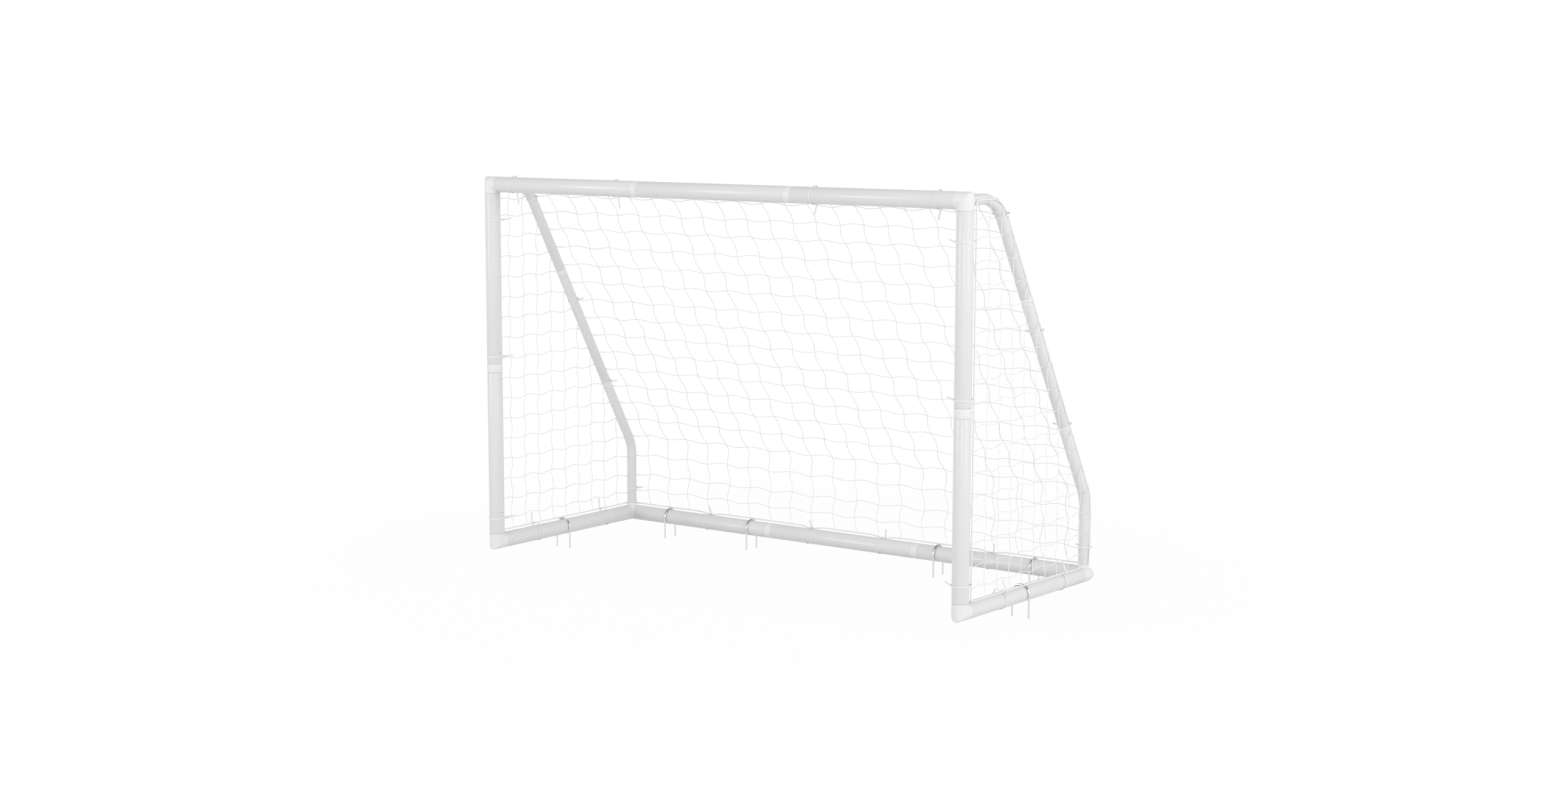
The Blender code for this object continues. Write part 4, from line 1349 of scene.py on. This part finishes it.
# Ties. A tie's slack is where its band stands off, outward and sideways of the pipe's axis.

TIE_GAP, LOCK_OUT = 0.0002, 0.0018
SPARE_R, TIE_EDGE = 0.0030, 0.0003
LOCK, LOCK_ROUND = (0.0046, 0.0062, 0.0064), 0.0005
SLOT_RIM, SLOT_DEPTH = 0.0012, 0.0010
TAIL, TAIL_CURL = 0.034, 0.075
POST_TIES = (1.055, 0.611, 0.078)
STAY_TIES = (0.207, 0.613, 0.954, 1.376)


class GOAL_OT_ties(bpy.types.Operator):
    """Plastic ties that hold net and ropes to the pipes"""

    bl_idname = "goal.ties"
    bl_label = "Ties"

    def execute(self, context):
        self.count = 0
        self.bands = {}
        self.lock = self.make_lock()
        self.tail = self.make_tail()
        self.bar_ties()
        for tag, side in SIDES:
            self.rail_ties(side)
            self.post_ties(side)
            self.stay_ties(side)
        remove(self.lock, self.tail, *self.bands.values())
        return {"FINISHED"}

    def band(self, pipe_r, reach, slack):
        """Band round a pipe and a rope that lies at the reach along +X, its plane across Z."""
        key = (round(pipe_r, 5), round(reach, 5), slack)
        if key not in self.bands:
            s = sizes()
            half, thick = s.tie_width / 2, s.tie_thick
            rods = [rod("band", (*centre, -half), (*centre, half), radius, count)
                    for centre, radius, count in (
                        ((0, 0), pipe_r + TIE_GAP + thick, 56),
                        ((reach, 0), s.rope / 2 + ROPE_GAP + thick, 20),
                        (slack, SPARE_R, 16))]
            ring = join(*rods)
            edit_all(ring)
            bpy.ops.mesh.convex_hull(delete_unused=True, use_existing_faces=False)
            bpy.ops.mesh.select_all(action="SELECT")
            bpy.ops.mesh.dissolve_limited(angle_limit=math.radians(0.5))
            bore(ring, UP, -half, half, thick)
            leave_edit()
            soften(ring, TIE_EDGE, 60)
            apply_all(ring)
            outward_normals(ring)
            self.bands[key] = ring
        return self.bands[key]

    def make_lock(self):
        """Lock of a tie: a small rounded block with the slot that the tail comes out of."""
        deselect()
        bpy.ops.mesh.primitive_cube_add(size=1.0)
        lock = take("lock")
        lock.scale = LOCK
        settle(lock)
        edit(lock, "FACE")
        choose_faces(lock, lambda c, n: n.x > 0.9)
        inset(SLOT_RIM)
        extrude((-SLOT_DEPTH, 0, 0))
        leave_edit()
        add_step(lock, "BEVEL", width=LOCK_ROUND, segments=3)
        apply_all(lock)
        return lock

    def make_tail(self):
        """Cut-off end of a tie: a thin strip out along +X that curls towards +Z."""
        s = sizes()
        tail = strip("tail", s.tie_thick, s.tie_width)
        edit_all(tail, "FACE")
        bpy.ops.mesh.spin(steps=10, angle=TAIL / TAIL_CURL, axis=(0, 1, 0), center=(0, 0, TAIL_CURL))
        leave_edit()
        outward_normals(tail)
        soften(tail, TIE_EDGE, 60)
        apply_all(tail)
        return tail

    def tie(self, centre, axis, rope, pipe_r, slack, turn, way, curl, stretch=1.0, flip=False):
        """One tie: band across an axis, lock at a turn from the rope, tail out along a way."""
        axis, rope = Vector(axis).normalized(), Vector(rope)
        rope -= axis * rope.dot(axis)
        out = rope.normalized()
        side = axis.cross(out) * (-1 if flip else 1)
        band = copy_of(self.band(pipe_r, rope.length, slack), "tie",
                       seat(centre, out, side, out.cross(side)))
        turn = math.radians(turn)
        away = out * math.cos(turn) + side * math.sin(turn)
        spot = Vector(centre) + away * (self.band_reach(pipe_r, rope.length, turn) + LOCK_OUT)
        lock = copy_of(self.lock, "lock", seat(spot, away, axis.cross(away), axis))
        way, curl = Vector(way).normalized(), Vector(curl)
        curl = (curl - way * curl.dot(way)).normalized()
        tail = copy_of(self.tail, "end", seat(spot, way, curl.cross(way), curl)
                       @ Matrix.Diagonal((stretch, 1, 1, 1)))
        join(band, lock, tail)
        self.count += 1
        piece = take("tie_" + str(self.count))
        smooth(piece, 40)
        hand_over(piece, "goal", [], tie_plastic())

    def band_reach(self, pipe_r, reach, turn):
        """How far the band lies from the pipe's axis at a turn from the rope."""
        s = sizes()
        plain = pipe_r + TIE_GAP + s.tie_thick
        over_rope = reach * math.cos(turn) + (s.rope / 2 + ROPE_GAP + s.tie_thick)
        return max(plain, over_rope) if abs(turn) < 0.9 else plain

    def bar_ties(self):
        """Ties along the crossbar and the rear rail, their tails down and up."""
        rope = rope_way("top_rope", FRONT_Y, BAR_Z)
        rope *= 1 - ROPE_PULL / rope.length
        for x, lean in BAR_TIES.items():
            self.tie((x, FRONT_Y, BAR_Z), ALONG_X, rope, PIPE_R, slack=(0.0222, 0.0171),
                     turn=-82, way=(lean, 0, -1), curl=(-0.3, 1, 0), stretch=1.25)
        rope = rope_way("rear_rope", REAR_Y, RAIL_Z)
        rope *= 1 - ROPE_PULL / rope.length
        for x, lean in REAR_TIES.items():
            self.tie((x, REAR_Y, RAIL_Z), ALONG_X, rope, PIPE_R, slack=(0.0220, 0.0120),
                     turn=-42, way=(lean, 0.05, 1), curl=(0.3, -1, 0), stretch=1.35)

    def rail_ties(self, side):
        s = sizes()
        places, slack = ((((0.201, 0.03), (0.553, 0.0)), (0.0270, 0.0140)) if side < 0 else
                         (((0.211, -0.45), (0.553, -0.36)), (0.0204, -0.0255)))
        for y, lean in places:
            self.tie((side * POST_X, FRONT_Y + y, RAIL_Z), BACK,
                     (side * s.net_standoff, 0, s.rope_standoff), PIPE_R, slack=slack,
                     turn=side * 10, way=(lean, 0, 1), curl=(0.5, -0.85, 0), stretch=1.1)

    def post_ties(self, side):
        """Ties on the posts, their tails out over the mouth."""
        s = sizes()
        turn, stretch = (80, 1.1) if side < 0 else (135, 0.85)
        for z in POST_TIES:
            self.tie((side * POST_X, FRONT_Y, RAIL_Z + z), UP,
                     (side * s.net_standoff, s.rope_standoff, 0), PIPE_R,
                     slack=(0.0270, 0.0100), turn=turn, way=(-side, 0.1, 0.16),
                     curl=(0, 1, 0.2), stretch=stretch, flip=side < 0)

    def stay_ties(self, side):
        line = StayLine()
        for station in STAY_TIES:
            y, z, heading = line.at(station)
            centre = Vector((side * POST_X, y, z))
            self.tie(centre, (0, math.cos(heading), -math.sin(heading)),
                     line.rope_point(station, side) - centre, STAY_R,
                     slack=(line.rope_reach + 0.0052, 0.0010), turn=-side * 118,
                     way=(-side, 0, 0.1), curl=(0.2, -1, 0.3),
                     stretch=0.3 if station < 0.3 else 0.95 if side < 0 else 0.55)


STEPS = ("stage", "pipes", "couplings", "corners", "stays", "buttons", "pegs", "ropes", "nets", "ties")


class GOAL_PT_panel(bpy.types.Panel):
    """Steps that build the goal"""

    bl_idname = "GOAL_PT_panel"
    bl_label = "Junior Goal"
    bl_space_type = "VIEW_3D"
    bl_region_type = "UI"
    bl_category = "Goal"

    def draw(self, context):
        for step in STEPS:
            self.layout.operator("goal." + step)
        for title in GROUPS:
            group = getattr(context.scene, title)
            box = self.layout.box()
            for name in group.__annotations__:
                box.prop(group, name)


GROUPS = {"goal_sizes": GoalSizes, "goal_finishes": GoalFinishes, "goal_studio": GoalStudio}
CLASSES = (*GROUPS.values(), GOAL_OT_stage, GOAL_OT_pipes, GOAL_OT_couplings, GOAL_OT_corners,
           GOAL_OT_stays, GOAL_OT_buttons, GOAL_OT_pegs, GOAL_OT_ropes, GOAL_OT_nets,
           GOAL_OT_ties, GOAL_PT_panel)


def register():
    for item in CLASSES:
        bpy.utils.register_class(item)
    for title, group in GROUPS.items():
        setattr(bpy.types.Scene, title, bpy.props.PointerProperty(type=group))


def unregister():
    for title in GROUPS:
        delattr(bpy.types.Scene, title)
    for item in reversed(CLASSES):
        bpy.utils.unregister_class(item)


def plain(box):
    return [[round(float(value), 5) for value in corner] for corner in box]


def main():
    register()
    for step in STEPS:
        getattr(bpy.ops.goal, step)()


if __name__ == "__main__":
    main()
